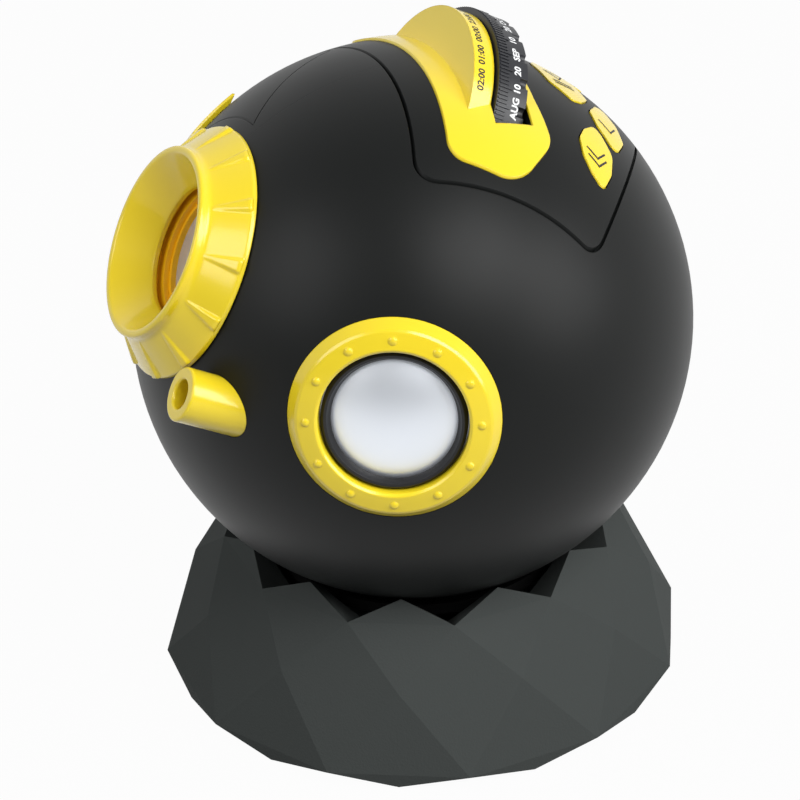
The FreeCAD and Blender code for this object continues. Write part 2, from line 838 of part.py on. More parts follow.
def focus_ring():
    flange_end = ring_flange_depth + 0.15
    bore = barrel_outer_radius + skirt_fit
    profile = [
        (skirt_depth, bore),
        (skirt_depth, skirt_outer_radius),
        (flange_end - 1.0, skirt_outer_radius),
        (flange_end, ring_flange_radius - 1.0),
        (flange_end + 0.4, ring_flange_radius),
        (flange_end + ring_flange_edge, ring_flange_radius),
        (flange_end + ring_flange_edge + 0.6, ring_flange_radius - 0.8),
        (ring_neck_depth, ring_neck_radius),
        (ring_neck_depth + 1.2, ring_neck_radius + 0.1),
        (ring_front_depth - 1.2, ring_front_radius),
        (ring_front_depth - 0.4, ring_front_radius - 0.4),
        (ring_front_depth, ring_front_radius - 1.3),
        (ring_front_depth - 0.3, ring_front_radius - 2.4),
        (ring_hole_depth + 1.0, ring_hole_radius + 0.6),
        (ring_hole_depth + 0.3, ring_hole_radius),
        (ring_hole_depth - 0.6, ring_hole_radius),
        (ring_hole_depth - ring_web, ring_hole_radius + 0.8),
        (ring_hole_depth - ring_web, bore),
    ]
    ring = spin(profile)
    ribs = []
    for index in range(ring_rib_count):
        low = flange_end + ring_flange_edge - 0.6
        wedge = [Vec(-ring_rib_width / 2, -low, ring_flange_radius - 3.0),
                 Vec(ring_rib_width / 2, -low, ring_flange_radius - 3.0),
                 Vec(ring_rib_width / 6, -ring_neck_depth, ring_neck_radius - 1.6),
                 Vec(-ring_rib_width / 6, -ring_neck_depth, ring_neck_radius - 1.6)]
        foot = Part.makePolygon(wedge + [wedge[0]])
        top = [corner + Vec(0, 0, 3.0 - ring_rib_height * 0.2) for corner in wedge[:2]]
        top += [corner + Vec(0, 0, 1.6 + ring_rib_height * 0.5) for corner in wedge[2:]]
        roof = Part.makePolygon(top + [top[0]])
        rib = Part.makeLoft([foot, roof], True, True)
        rib.rotate(Vec(0, 0, 0), Vec(0, 1, 0), ring_rib_phase + index * 360.0 / ring_rib_count)
        ribs.append(rib)
    ring = union([ring] + ribs)
    relief = solid_ball(ball_radius + side_gap).cut(rod(lens_opening_radius - 1.0, 0.0, 90.0))
    ring = ring.cut(relief)
    groove_high = cam_slot_centre() + lens_travel_front + cam_pin_radius + side_gap
    groove = tube(bore + 1.8, bore - 1.0, skirt_depth - 1.0, groove_high)
    return ring.cut(groove)


def cam_slot_centre():
    return (cell_rear_depth + cell_front_depth) / 2.0 + 0.4


def barrel_screw_places():
    places = []
    for turn in (35.0, 145.0, 215.0, 325.0):
        angle = math.radians(turn)
        places.append((barrel_screw_circle * math.sin(angle), barrel_screw_circle * math.cos(angle)))
    return places


def lens_barrel():
    barrel = tube(barrel_outer_radius, barrel_bore_radius, barrel_rear, barrel_front_depth)
    flange = tube(collar_outer_radius, barrel_bore_radius, barrel_rear, collar_depth)
    barrel = union([barrel, flange])
    for right, up in barrel_screw_places():
        barrel = barrel.cut(rod(frame_screw_radius + 0.1, barrel_rear - 1.0, collar_depth + 1.0, right, up))
    centre = cam_slot_centre() - 1.4
    for side in (-1, 1):
        slot = block(centre - cam_slot_length / 2, centre + cam_slot_length / 2,
                     side * barrel_outer_radius - 6.0, side * barrel_outer_radius + 6.0,
                     -cam_pin_radius - 0.2, cam_pin_radius + 0.2)
        barrel = barrel.cut(slot)
    return barrel


def barrel_screws():
    screws = []
    for right, up in barrel_screw_places():
        head = rod(2.4, barrel_rear - 1.6, barrel_rear, right, up)
        shank = rod(frame_screw_radius, barrel_rear - 1.0, collar_depth + 5.0, right, up)
        screws.append(head.fuse(shank).removeSplitter())
    return Part.makeCompound(screws)


def lens_cell():
    outer = barrel_bore_radius - cell_fit
    cell = rod(outer, cell_rear_depth, cell_front_depth)
    cell = cell.cut(rod(cell_bore_radius, front_lens_depth, cell_front_depth + 1.0))
    cell = cell.cut(rod(rear_lens_radius - 1.4, cell_rear_depth - 1.0, cell_front_depth))
    cell = cell.cut(rod(rear_lens_radius, cell_rear_depth - 1.0, cell_rear_depth + rear_lens_edge + 0.3))
    pins = []
    for side in (-1, 1):
        length = barrel_outer_radius + skirt_fit + 1.5 - outer + 1.0
        pins.append(Part.makeCylinder(cam_pin_radius, length, Vec(side * (outer - 1.0), -cam_slot_centre(), 0),
                                      Vec(side, 0, 0)))
    return union([cell] + pins)


def front_lens():
    front = front_lens_depth + front_lens_edge
    radius = cell_bore_radius - 0.03
    sag = front_lens_bulge
    curve = (radius ** 2 + sag ** 2) / (2 * sag)
    dome = Part.makeSphere(curve, Vec(0, -(front + sag - curve), 0))
    body = rod(radius, front_lens_depth, front + sag)
    return body.common(dome)


def rear_lens():
    radius = rear_lens_radius - 0.03
    body = rod(radius, cell_rear_depth, cell_rear_depth + rear_lens_edge)
    hollow = Part.makeSphere(40.0, Vec(0, -(cell_rear_depth - 39.0), 0))
    return body.cut(hollow)


def lens_retainer():
    low = front_lens_depth + front_lens_edge
    ring = tube(cell_bore_radius - 0.03, cell_bore_radius - 1.2, low, low + lens_retainer_length)
    return ring.cut(front_lens())


# Speakers

def speaker_bezel(side):
    outer_depth = math.sqrt(ball_radius ** 2 - bezel_outer_radius ** 2)
    seat = driver_seat_depth
    profile = [
        (seat - 1.2, bezel_inner_radius - 0.2),
        (bezel_face_depth - 0.5, bezel_inner_radius),
        (bezel_face_depth, bezel_inner_radius + 0.7),
        (bezel_crease_depth, bezel_crease_radius),
        (bezel_crease_depth - 0.5, bezel_crease_radius + 0.5),
        (outer_depth, bezel_outer_radius),
        (outer_depth - 0.9, bezel_outer_radius),
        (seat - 1.2, bezel_outer_radius - 2.8),
    ]
    ring = spin_up(profile)
    bumps = []
    rise = (bezel_face_depth - bezel_crease_depth) / (bezel_crease_radius - bezel_inner_radius - 0.7)
    height = bezel_face_depth - rise * (bezel_bump_circle - bezel_inner_radius - 0.7)
    curve = (bezel_bump_radius ** 2 + bezel_bump_height ** 2) / (2 * bezel_bump_height)
    for index in range(bezel_bump_count):
        turn = index * 2 * math.pi / bezel_bump_count
        centre = Vec(bezel_bump_circle * math.cos(turn), bezel_bump_circle * math.sin(turn),
                     height + bezel_bump_height - curve)
        bumps.append(Part.makeSphere(curve, centre))
    return toward_speaker(union([ring] + bumps), side)


def speaker_surround(side):
    low = driver_seat_depth - 1.0
    profile = [
        (low, cone_radius - 0.6),
        (low, surround_radius),
        (low + surround_thickness, surround_radius),
        (low + surround_thickness + 1.0, surround_radius - 0.9),
        (low + surround_thickness + 0.8, cone_radius + 0.7),
        (low + surround_thickness - 0.6, cone_radius + 0.1),
        (low + 0.8, cone_radius - 0.6),
    ]
    return toward_speaker(spin_up(profile), side)


def speaker_dome(side):
    low = driver_seat_depth - 0.1
    curve = (cone_radius ** 2 + cone_rise ** 2) / (2 * cone_rise)
    centre = Vec(0, 0, low + cone_rise - curve)
    outer = Part.makeSphere(curve, centre)
    inner = Part.makeSphere(curve - cone_thickness, centre)
    skin = outer.cut(inner)
    keep = Part.makeCylinder(cone_radius, 20.0, Vec(0, 0, low))
    return toward_speaker(skin.common(keep), side)


def speaker_driver(side):
    top = driver_seat_depth - 1.0
    profile = [
        (top, surround_radius - 4.0),
        (top, surround_radius + 0.2),
        (top - 1.6, surround_radius + 0.2),
        (top - 1.6, surround_radius - 1.6),
        (top - basket_length, magnet_radius - 1.0),
        (top - basket_length, 0.0),
        (top - basket_length + 2.0, 0.0),
        (top - basket_length + 2.0, magnet_radius - 2.0),
    ]
    basket = spin_up(profile)
    low = top - basket_length - magnet_length
    magnet = Part.makeCylinder(magnet_radius, magnet_length, Vec(0, 0, low))
    return toward_speaker(union([basket, magnet]), side)


# Shooting star tube

def meteor_tube():
    body = tube(tube_outer_radius, tube_bore_radius, tube_rear_depth, tube_front_depth, tube_right, -tube_down)
    edges = [edge for edge in body.Edges
             if abs(edge.BoundBox.YMin + tube_front_depth) < 0.01 and edge.BoundBox.YLength < 0.01]
    return body.makeFillet(0.7, edges)


def meteor_lamp():
    front = tube_rear_depth + 1.0
    lamp = rod(tube_lamp_radius, front, front + tube_lamp_length, tube_right, -tube_down)
    disc = rod(tube_outer_radius - 0.6, tube_rear_depth - lamp_board_thickness, tube_rear_depth,
               tube_right, -tube_down)
    neck = rod(tube_lamp_radius, tube_rear_depth - 0.1, front, tube_right, -tube_down)
    return union([lamp, neck, disc])


# Sky gear train

def gear_frame():
    plate = rod(frame_disc_radius, frame_rear, frame_front)
    arms = []
    for right, up in frame_boss_places():
        arms.append(rod(frame_arm_width / 2 + 1.0, frame_rear, frame_front, right, up))
        arm = block(frame_rear, frame_front, -frame_arm_width / 2, frame_arm_width / 2, 20.0,
                    math.hypot(right, up))
        arm.rotate(Vec(0, 0, 0), Vec(0, 1, 0), math.degrees(math.atan2(right, up)))
        arms.append(arm)
    hub = rod(sky_hub_radius, frame_rear, sky_gear_front - 0.6)
    ear_low = date_gear_front + side_gap
    ear = block(ear_low, ear_low + idler_ear_thickness, -4.0, 4.0, idler_height - 8.6, idler_height + 3.6)
    bridge = block(ear_low, frame_rear + 0.1, -4.0, 4.0, idler_height - 8.6, idler_height - 6.4)
    frame = union([plate, hub, ear, bridge] + arms)
    frame = frame.cut(rod(sky_hub_bore, frame_rear - 1.0, tray_rear))
    frame = frame.cut(rod(idler_shaft_radius + idler_fit, ear_low - 1.0, frame_front + 1.0, 0.0, idler_height))
    right, up = motor_place()
    frame = frame.cut(rod(motor_shaft_radius + 0.3, frame_rear - 1.0, frame_front + 1.0, right, up))
    for right, up in frame_boss_places():
        frame = frame.cut(rod(frame_screw_radius + 0.1, frame_rear - 1.0, frame_front + 1.0, right, up))
    return frame


def frame_boss_places():
    """Places of the frame's four screws, clear of the drawer's track."""
    return [(-45.0, -14.0), (-27.0, -33.2), (17.0, -42.0), (27.0, 33.2)]


def motor_place():
    reach = gear_module * (sky_gear_teeth + pinion_teeth) / 2.0
    angle = math.radians(motor_angle)
    return reach * math.cos(angle), reach * math.sin(angle)


def mesh_phase(teeth, toward, other_phase, other_teeth, other_toward):
    """Phase that puts a gap of this gear where the other gear has a tooth."""
    step = 2.0 * math.pi / teeth
    other_step = 2.0 * math.pi / other_teeth
    offset = ((other_toward - other_phase) / other_step) % 1.0
    return toward - step * (0.5 - offset)


def sky_ring():
    ring = gear(sky_gear_teeth, sky_gear_rear, sky_gear_front, 0.0, 0.0, sky_hub_radius + sky_fit)
    return ring


def idler_phase():
    return mesh_phase(pinion_teeth, math.pi, 0.0, sky_gear_teeth, 0.0)


def idler_gear():
    phase = idler_phase()
    near = gear(pinion_teeth, sky_gear_rear, sky_gear_front - 0.2, 0.0, idler_height, 0.0, phase)
    far = gear(pinion_teeth, date_gear_rear, date_gear_front, 0.0, idler_height, 0.0, phase)
    shaft = rod(idler_shaft_radius, date_gear_rear, sky_gear_front, 0.0, idler_height)
    return union([near, far, shaft])


def date_gear_phase():
    return mesh_phase(date_gear_teeth, math.pi, idler_phase(), pinion_teeth, 0.0)


def date_wheel():
    rim = tube(wheel_radius, wheel_radius - wheel_rim, wheel_rear, wheel_front, 0.0, dial_axis_height)
    web_low = (wheel_front + wheel_rear - wheel_web) / 2.0
    web = rod(wheel_radius - wheel_rim + 0.5, web_low, web_low + wheel_web, 0.0, dial_axis_height)
    hub = rod(axle_radius + 3.0, wheel_rear, date_gear_front, 0.0, dial_axis_height)
    teeth = gear(date_gear_teeth, date_gear_rear, date_gear_front, 0.0, dial_axis_height, 0.0,
                 date_gear_phase())
    wheel = union([rim, web, hub, teeth])
    wheel = wheel.cut(rod(axle_radius + axle_fit, wheel_rear - 5.0, date_gear_front + 5.0, 0.0,
                          dial_axis_height))
    for index in range(wheel_notch_count):
        turn = index * 2 * math.pi / wheel_notch_count
        right = (wheel_radius + 0.5) * math.sin(turn)
        up = dial_axis_height + (wheel_radius + 0.5) * math.cos(turn)
        wheel = wheel.cut(rod(wheel_notch_radius, wheel_rear - 1.0, wheel_rear + wheel_notch_length, right, up))
    return wheel


def date_axle():
    return rod(axle_radius, axle_rear, hump_front - hump_wall + 1.0, 0.0, dial_axis_height)


def motor():
    right, up = motor_place()
    can = rod(motor_radius, frame_rear - motor_length, frame_rear, right, up)
    return can.cut(rod(motor_shaft_radius + 0.05, frame_rear - 8.0, frame_rear + 1.0, right, up))


def motor_pinion():
    right, up = motor_place()
    toward = math.atan2(right, up)
    phase = mesh_phase(pinion_teeth, toward + math.pi, 0.0, sky_gear_teeth, toward)
    wheel = gear(pinion_teeth, sky_gear_rear + 0.2, sky_gear_front - 0.2, right, up, 0.0, phase)
    return union([wheel, rod(motor_shaft_radius, frame_rear - 7.6, sky_gear_front - 0.2, right, up)])


def frame_screws():
    screws = []
    for right, up in frame_boss_places():
        head = rod(2.4, frame_rear - 1.6, frame_rear, right, up)
        shank = rod(frame_screw_radius, frame_rear - 1.0, frame_rear + frame_screw_length - 0.4, right, up)
        screws.append(head.fuse(shank).removeSplitter())
    return Part.makeCompound(screws)


# Drawer with the star disc

def disc_drawer():
    tray_left = -math.sqrt(inner_radius ** 2 - tray_front ** 2) + 2.0
    tray = block(tray_rear, tray_front, tray_left - 6.0, tray_right_end, -tray_half_height, tray_half_height)
    tray = tray.common(solid_ball(inner_radius - 0.6))
    skin = layer(inner_radius, ball_radius, drawer_opening(0.0))
    link = block(tray_rear, tray_front, -ball_radius, tray_left + 2.0, -tray_half_height + 6.0,
                 tray_half_height - 6.0)
    link = link.common(solid_ball(inner_radius + 0.5))
    drawer = union([toward_drawer(tray.fuse(link)), skin])
    drawer = drawer.cut(rod(disc_radius + disc_fit, tray_rear - 1.0, tray_front - tray_lip))
    return drawer.cut(rod(disc_radius - 1.6, tray_rear - 1.0, tray_front + 1.0))


def drawer_grip():
    """Raised bar on the far side of the drawer's front, to pull it out with."""
    side = block(drawer_front_high - drawer_grip_width, ball_radius, -ball_radius - 9.0, -drawer_grip_inner,
                 0.0, ball_radius)
    bar = layer(ball_radius, ball_radius + drawer_grip_proud, drawer_opening(-drawer_grip_edge).common(side))
    edges = []
    for edge in bar.Edges:
        middle = edge.valueAt((edge.FirstParameter + edge.LastParameter) / 2)
        if middle.Length > ball_radius + drawer_grip_proud - 0.05:
            edges.append(edge)
    return bar.makeChamfer(0.8, edges)


def star_disc():
    disc = rod(disc_radius, tray_rear, tray_rear + disc_thickness)
    return disc


def drawer_rails():
    rails = []
    for sign in (-1, 1):
        near = sign * (tray_half_height + rail_gap)
        far = sign * (tray_half_height + rail_gap + rail_thickness)
        low = min(near, far)
        high = max(near, far)
        rail = block(tray_rear, tray_front, -42.0, tray_right_end + 4.0, low, high)
        rail = rail.common(solid_ball(inner_radius - 0.2))
        post = block(tray_front - 1.0, barrel_rear, -12.0, 12.0, low, high)
        rails.append(toward_drawer(union([rail, post])))
    return Part.makeCompound(rails)


# Lamp

def condenser_holder():
    outer = condenser_radius + condenser_holder_wall
    holder = tube(outer, condenser_radius + 0.05, holder_rear, frame_rear)
    stop = tube(outer - 0.5, condenser_radius - 1.2, condenser_depth - 1.6, condenser_depth)
    return union([holder, stop])


def condenser_lens():
    front = condenser_depth + condenser_edge
    curve = (condenser_radius ** 2 + condenser_bulge ** 2) / (2 * condenser_bulge)
    dome = Part.makeSphere(curve, Vec(0, -(front + condenser_bulge - curve), 0))
    return rod(condenser_radius, condenser_depth, front + condenser_bulge).common(dome)


def lamp_board():
    board = rod(condenser_radius + condenser_holder_wall, holder_rear - lamp_board_thickness, holder_rear)
    half = lamp_emitter_half
    emitter = block(holder_rear - 0.1, holder_rear + lamp_emitter_height, -half, half, -half, half)
    return union([board, emitter])


def lamp_heatsink():
    front = holder_rear - lamp_board_thickness
    base = rod(heatsink_radius, front - heatsink_base, front)
    fins = []
    pitch = 2.0 * heatsink_radius / fin_count
    for index in range(fin_count):
        middle = -heatsink_radius + pitch * (index + 0.5)
        fin = block(front - heatsink_depth, front - heatsink_base + 0.5, middle - fin_thickness / 2,
                    middle + fin_thickness / 2, -heatsink_radius, heatsink_radius)
        fins.append(fin.common(rod(heatsink_radius, front - heatsink_depth - 1.0, front)))
    return union([base] + fins)


# Boards, batteries, jacks

def key_board():
    return block(key_board_rear, key_board_front, -key_board_half, key_board_half, key_board_height,
                 key_board_height + key_board_thickness).common(solid_ball(inner_radius - 0.3))


def key_board_posts():
    """Posts that hang the key board from the panel."""
    posts = []
    for b, a in ((0.0, -21.5), (20.5, -3.4), (-20.5, -3.4)):
        low = key_board_height + key_board_thickness
        post = Part.makeCylinder(2.0, 60.0, Vec(b, -a, low)).common(solid_ball(inner_radius + 0.4))
        posts.append(post)
    return posts


def key_switches():
    switches = []
    low = key_board_height + key_board_thickness
    half = key_switch_side / 2.0
    for name in button_names:
        b, a = button_centre(name)
        body = block(a - half, a + half, b - half, b + half, low, low + key_switch_height)
        plunger = Part.makeCylinder(key_plunger_radius, key_plunger_height,
                                    Vec(b, -a, low + key_switch_height))
        switches.append(body.fuse(plunger).removeSplitter())
    return Part.makeCompound(switches)


def battery_box():
    top = battery_low + battery_pitch * (battery_count - 1) + battery_radius + battery_wall + 0.6
    low = battery_low - battery_radius - battery_wall - 0.6
    half = battery_length / 2 + battery_wall + 2.6
    inside = battery_plane + battery_radius + battery_wall
    body = block(-ball_radius, inside, -half, half, low, top).common(solid_ball(inner_radius - 0.25))
    hollow = block(-90.0, inside - battery_wall + 0.3, -half + battery_wall, half - battery_wall,
                   low + battery_wall, top - battery_wall)
    body = body.cut(hollow)
    posts = []
    for b_sign in (-1, 1):
        for c_place in (low + 6.0, top - 6.0):
            posts.append(rod(2.4, inside - 0.2, main_board_plane - main_board_thickness, b_sign * 20.0, c_place))
    body = union([body, door_screw_boss()] + posts)
    return body.cut(rod(frame_screw_radius, -ball_radius, -door_screw_seat + door_screw_length, 0.0, door_screw_up))


def battery_cells():
    cells = []
    for index in range(battery_count):
        up = battery_low + index * battery_pitch
        body = Part.makeCylinder(battery_radius, battery_length - 1.2,
                                 Vec(-battery_length / 2, -battery_plane, up), Vec(1, 0, 0))
        tip = Part.makeCylinder(2.6, 1.3, Vec(battery_length / 2 - 1.3, -battery_plane, up), Vec(1, 0, 0))
        cells.append(body.fuse(tip).removeSplitter())
    return Part.makeCompound(cells)


def battery_contacts():
    contacts = []
    half = battery_length / 2 + battery_wall + 2.6 - battery_wall
    for index in range(battery_count):
        up = battery_low + index * battery_pitch
        for side in (-1, 1):
            inner = min(side * half, side * (half - contact_thickness))
            plate = block(battery_plane - 5.0, battery_plane + 5.0, inner, inner + contact_thickness,
                          up - 5.0, up + 5.0)
            reach = half - contact_thickness - battery_length / 2 - 0.1
            start = side * (half - contact_thickness + 0.05)
            button = Part.makeCylinder(2.4, reach, Vec(start, -battery_plane, up), Vec(-side, 0, 0))
            contacts.append(plate.fuse(button).removeSplitter())
    return Part.makeCompound(contacts)


def battery_door():
    door = layer(inner_radius, ball_radius, door_prism(0.0))
    for index in range(door_grip_count):
        up = door_low + 6.0 + index * 2.2
        bar = block(-90.0, -50.0, -8.0, 8.0, up - 0.5, up + 0.5)
        door = door.cut(layer(ball_radius - 0.6, ball_radius + 1.0, bar))
    door = door.cut(rod(door_screw_head_radius + 0.3, -90.0, -door_screw_seat, 0.0, door_screw_up))
    return door.cut(rod(frame_screw_radius + 0.1, -90.0, -50.0, 0.0, door_screw_up))


def door_screw_boss():
    half = frame_screw_radius + 2.2
    boss = block(-ball_radius, -door_screw_seat + door_screw_length - 1.0, -half, half, door_screw_up - half,
                 door_screw_up + half)
    return boss.common(solid_ball(inner_radius - 0.1))


def door_screw():
    head = rod(door_screw_head_radius, -door_screw_seat - 1.2, -door_screw_seat, 0.0, door_screw_up)
    shank = rod(frame_screw_radius, -door_screw_seat - 1.0, -door_screw_seat + door_screw_length, 0.0,
                door_screw_up)
    slot = block(-90.0, -door_screw_seat - 0.6, -3.0, 3.0, door_screw_up - 0.4, door_screw_up + 0.4)
    return union([head, shank]).cut(slot)


def main_board():
    board = block(main_board_plane - main_board_thickness, main_board_plane, -main_board_half, main_board_half,
                  -18.0, 44.0)
    chips = [
        block(main_board_plane, main_board_plane + 1.6, -8.0, 6.0, -6.0, 8.0),
        block(main_board_plane, main_board_plane + 1.4, 10.0, 18.0, 12.0, 22.0),
        rod(4.0, main_board_plane, main_board_plane + 9.0, -18.0, 24.0),
        rod(4.0, main_board_plane, main_board_plane + 9.0, -18.0, 34.0),
        block(main_board_plane, main_board_plane + 6.0, 8.0, 22.0, 32.0, 38.0),
    ]
    return union([board] + chips)


def jack_body(up):
    half = jack_body_half
    body = block(-jack_face_depth, -jack_face_depth + jack_length, jack_right - half, jack_right + half,
                 up - half, up + half)
    return body.common(solid_ball(ball_radius - side_gap))


def aux_jack():
    body = jack_body(aux_up)
    return body.cut(rod(aux_bore_radius, -jack_face_depth - 1.0, -jack_face_depth + aux_bore_length, jack_right,
                        aux_up))


def power_jack():
    body = jack_body(power_up)
    body = body.cut(rod(power_bore_radius, -jack_face_depth - 1.0, -jack_face_depth + jack_length - 3.0,
                        jack_right, power_up))
    pin = rod(power_pin_radius, -jack_face_depth + 1.0, -jack_face_depth + jack_length - 2.0, jack_right, power_up)
    return union([body, pin])


def jack_plate():
    """Recessed plate in the shell around both jacks."""
    half = jack_body_half
    plate = block(-90.0, -jack_face_depth, jack_right - half - 0.3, jack_right + half + 0.3,
                  power_up - half - 0.3, aux_up + half + 0.3)
    plate = plate.common(solid_ball(ball_radius - 0.4))
    between = power_up + half + 0.1
    rear = block(-jack_face_depth, -jack_face_depth + 4.0, jack_right - half, jack_right + half,
                 between, aux_up - half - 0.1)
    plate = union([plate, rear])
    hollow = block(-90.0, -jack_face_depth - 1.4, jack_right - half + 1.0, jack_right + half - 1.0,
                   power_up - half + 1.0, aux_up + half - 1.0)
    plate = plate.cut(hollow)
    for up, radius in ((aux_up, aux_bore_radius + 1.6), (power_up, power_bore_radius + 0.5)):
        plate = plate.cut(rod(radius, -90.0, -jack_face_depth + 1.0, jack_right, up))
    return plate


nodes = {}
nodes["base_shell"] = base_shell()
nodes["base_plate"] = base_plate()
nodes["base_pad"] = base_pad()
nodes["base_ballast"] = base_ballast()
nodes["base_screws"] = base_screws()
nodes["cradle_cup"] = cradle_cup()
nodes["cradle_pads"] = cradle_pads()
nodes["cradle_retainer"] = cradle_retainer()

shells = shell_pair()
panel = union([top_panel()] + key_board_posts())
in_ball = {
    "left_shell": half_ball(shells, -1),
    "right_shell": half_ball(shells, 1).fuse(jack_plate()).removeSplitter(),
    "top_panel": panel,
    "dial_housing": dial_housing(),
    "focus_ring": focus_ring(),
    "lens_barrel": lens_barrel(),
    "barrel_screws": barrel_screws(),
    "lens_cell": lens_cell(),
    "front_lens": front_lens(),
    "rear_lens": rear_lens(),
    "lens_retainer": lens_retainer(),
    "meteor_tube": meteor_tube(),
    "meteor_lamp": meteor_lamp(),
    "gear_frame": gear_frame(),
    "frame_screws": frame_screws(),
    "sky_ring": sky_ring(),
    "idler_gear": idler_gear(),
    "date_wheel": date_wheel(),
    "date_axle": date_axle(),
    "motor": motor(),
    "motor_pinion": motor_pinion(),
    "disc_drawer": disc_drawer(),
    "drawer_grip": drawer_grip(),
    "star_disc": star_disc(),
    "drawer_rails": drawer_rails(),
    "condenser_holder": condenser_holder(),
    "condenser_lens": condenser_lens(),
    "lamp_board": lamp_board(),
    "lamp_heatsink": lamp_heatsink(),
    "key_board": key_board(),
    "key_switches": key_switches(),
    "main_board": main_board(),
    "battery_box": battery_box(),
    "battery_cells": battery_cells(),
    "battery_contacts": battery_contacts(),
    "battery_door": battery_door(),
    "door_screw": door_screw(),
    "aux_jack": aux_jack(),
    "power_jack": power_jack(),
}
for side, word in ((-1, "left"), (1, "right")):
    in_ball[word + "_speaker_bezel"] = speaker_bezel(side)
    in_ball[word + "_speaker_surround"] = speaker_surround(side)
    in_ball[word + "_speaker_dome"] = speaker_dome(side)
    in_ball[word + "_speaker_driver"] = speaker_driver(side)
for name in button_names:
    in_ball[name] = button_shape(name)
for name, shape in in_ball.items():
    nodes[name] = place_ball(shape)

os.makedirs("parts", exist_ok=True)
for name, shape in nodes.items():
    print(name, len(shape.Solids), round(shape.Volume, 1), shape.isValid())
    shape.exportStep("parts/" + name + ".step")
print(len(nodes), "nodes")
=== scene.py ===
import json
import math

import bmesh
import bpy
from mathutils import Matrix, Vector


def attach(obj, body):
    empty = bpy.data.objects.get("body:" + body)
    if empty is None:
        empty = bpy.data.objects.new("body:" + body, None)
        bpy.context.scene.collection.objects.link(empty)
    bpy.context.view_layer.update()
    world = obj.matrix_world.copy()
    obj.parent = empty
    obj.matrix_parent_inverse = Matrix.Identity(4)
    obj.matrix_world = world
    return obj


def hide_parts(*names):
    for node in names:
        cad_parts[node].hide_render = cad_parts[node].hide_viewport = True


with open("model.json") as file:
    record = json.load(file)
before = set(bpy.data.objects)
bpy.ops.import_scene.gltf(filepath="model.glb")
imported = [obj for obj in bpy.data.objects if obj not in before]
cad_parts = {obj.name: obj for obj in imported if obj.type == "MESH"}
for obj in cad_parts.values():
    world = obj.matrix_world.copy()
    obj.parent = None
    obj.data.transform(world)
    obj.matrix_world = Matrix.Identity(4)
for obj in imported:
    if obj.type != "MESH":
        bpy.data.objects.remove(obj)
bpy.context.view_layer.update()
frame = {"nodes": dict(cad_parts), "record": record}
nodes = frame["nodes"]

# Lengths and places on the ball are in millimetres and in the ball's own directions:
# a forward along the lens, b to the right and c up. Stage, lamps and camera are in metres.
MM = 0.001
BALL_RADIUS = 80.0
BALL_HEIGHT = 110.3
LENS_ELEVATION = math.radians(28.8)
BALL_CENTRE = Vector((0, 0, BALL_HEIGHT * MM))
BALL_MATRIX = (Matrix.Translation(BALL_CENTRE)
               @ Matrix.Rotation(-LENS_ELEVATION, 4, "X") @ Matrix.Scale(MM, 4))

# Shading: faces that meet at less than the limit look smooth
SMOOTH_LIMIT = math.radians(32)
FACET_LIMIT = math.radians(6)
FACETED_NODES = ("base_shell",)

# Faces of these nodes that lie this near the ball's surface and face along it are shaded as the ball
BALL_SKIN_DEPTH = 0.05
BALL_SKIN_FACING = 0.985
BALL_SKIN_NODES = (
    "left_shell", "right_shell", "top_panel", "battery_door", "disc_drawer", "drawer_grip",
    "dial_housing", "play_button", "speed_right_button", "speed_left_button",
    "volume_right_button", "volume_left_button",
)

# Date wheel and the hump over it; depths are along a, angles run from c to b
DIAL_HEIGHT = 58.0
WHEEL_RADIUS = 31.4
HUMP_RADIUS = 29.8
TICK_COUNT = 180
TICKS_PER_LONG_ONE = 5
LONG_TICK_EXTRA = 1.2
TICK_REAR = 19.4
TICK_FRONT = 22.3
TICK_HALF_ANGLE = math.radians(0.5)
TICK_SUNK = 0.15
TICK_PROUD = 0.28

# Printed dates and hours
CAPITAL_SHARE = 0.7
PRINT_HEIGHT = 2.0
PRINT_PROUD = 0.03
PRINT_RESOLUTION = 3
MONTHS = ("JAN", "FEB", "MAR", "APR", "MAY", "JUN", "JUL", "AUG", "SEP", "OCT", "NOV", "DEC")
AUGUST = 7
AUGUST_ANGLE = 59.0
DATE_DEPTH = 16.6
DATE_STEP = 10.0
DATE_WEIGHT = 0.1
HOUR_COUNT = 8
FIRST_HOUR = 2
FIRST_HOUR_ANGLE = 48.8
HOUR_DEPTH = 27.2
HOUR_STEP = 14.7
HOUR_WEIGHT = 0.07

# Marks on the buttons
BUTTON_PROUD = 0.35
MARK_PROUD = 0.1
MARK_RADIUS = BALL_RADIUS + BUTTON_PROUD + MARK_PROUD
MARK_PIECE = 0.8
MARK_WIDTH = 0.55
BAR_WIDTH = 0.7
ARROW_HALF = 3.0
VOLUME_ARROW_TIPS = (36.6, 39.0)
VOLUME_ARROW_LENGTH = 2.6
VOLUME_ARROW_DEPTH = -7.9
SPEED_ARROW_TIP = 21.6
SPEED_ARROW_LENGTH = 3.6
SPEED_ARROW_DEPTH = -17.6
PLAY_FRONT = -4.6
PLAY_REAR = -10.8
PLAY_MIDDLE = -7.7
PLAY_LEFT = -3.6
PLAY_TIP = 1.0
PAUSE_BARS = (3.6, 5.4)

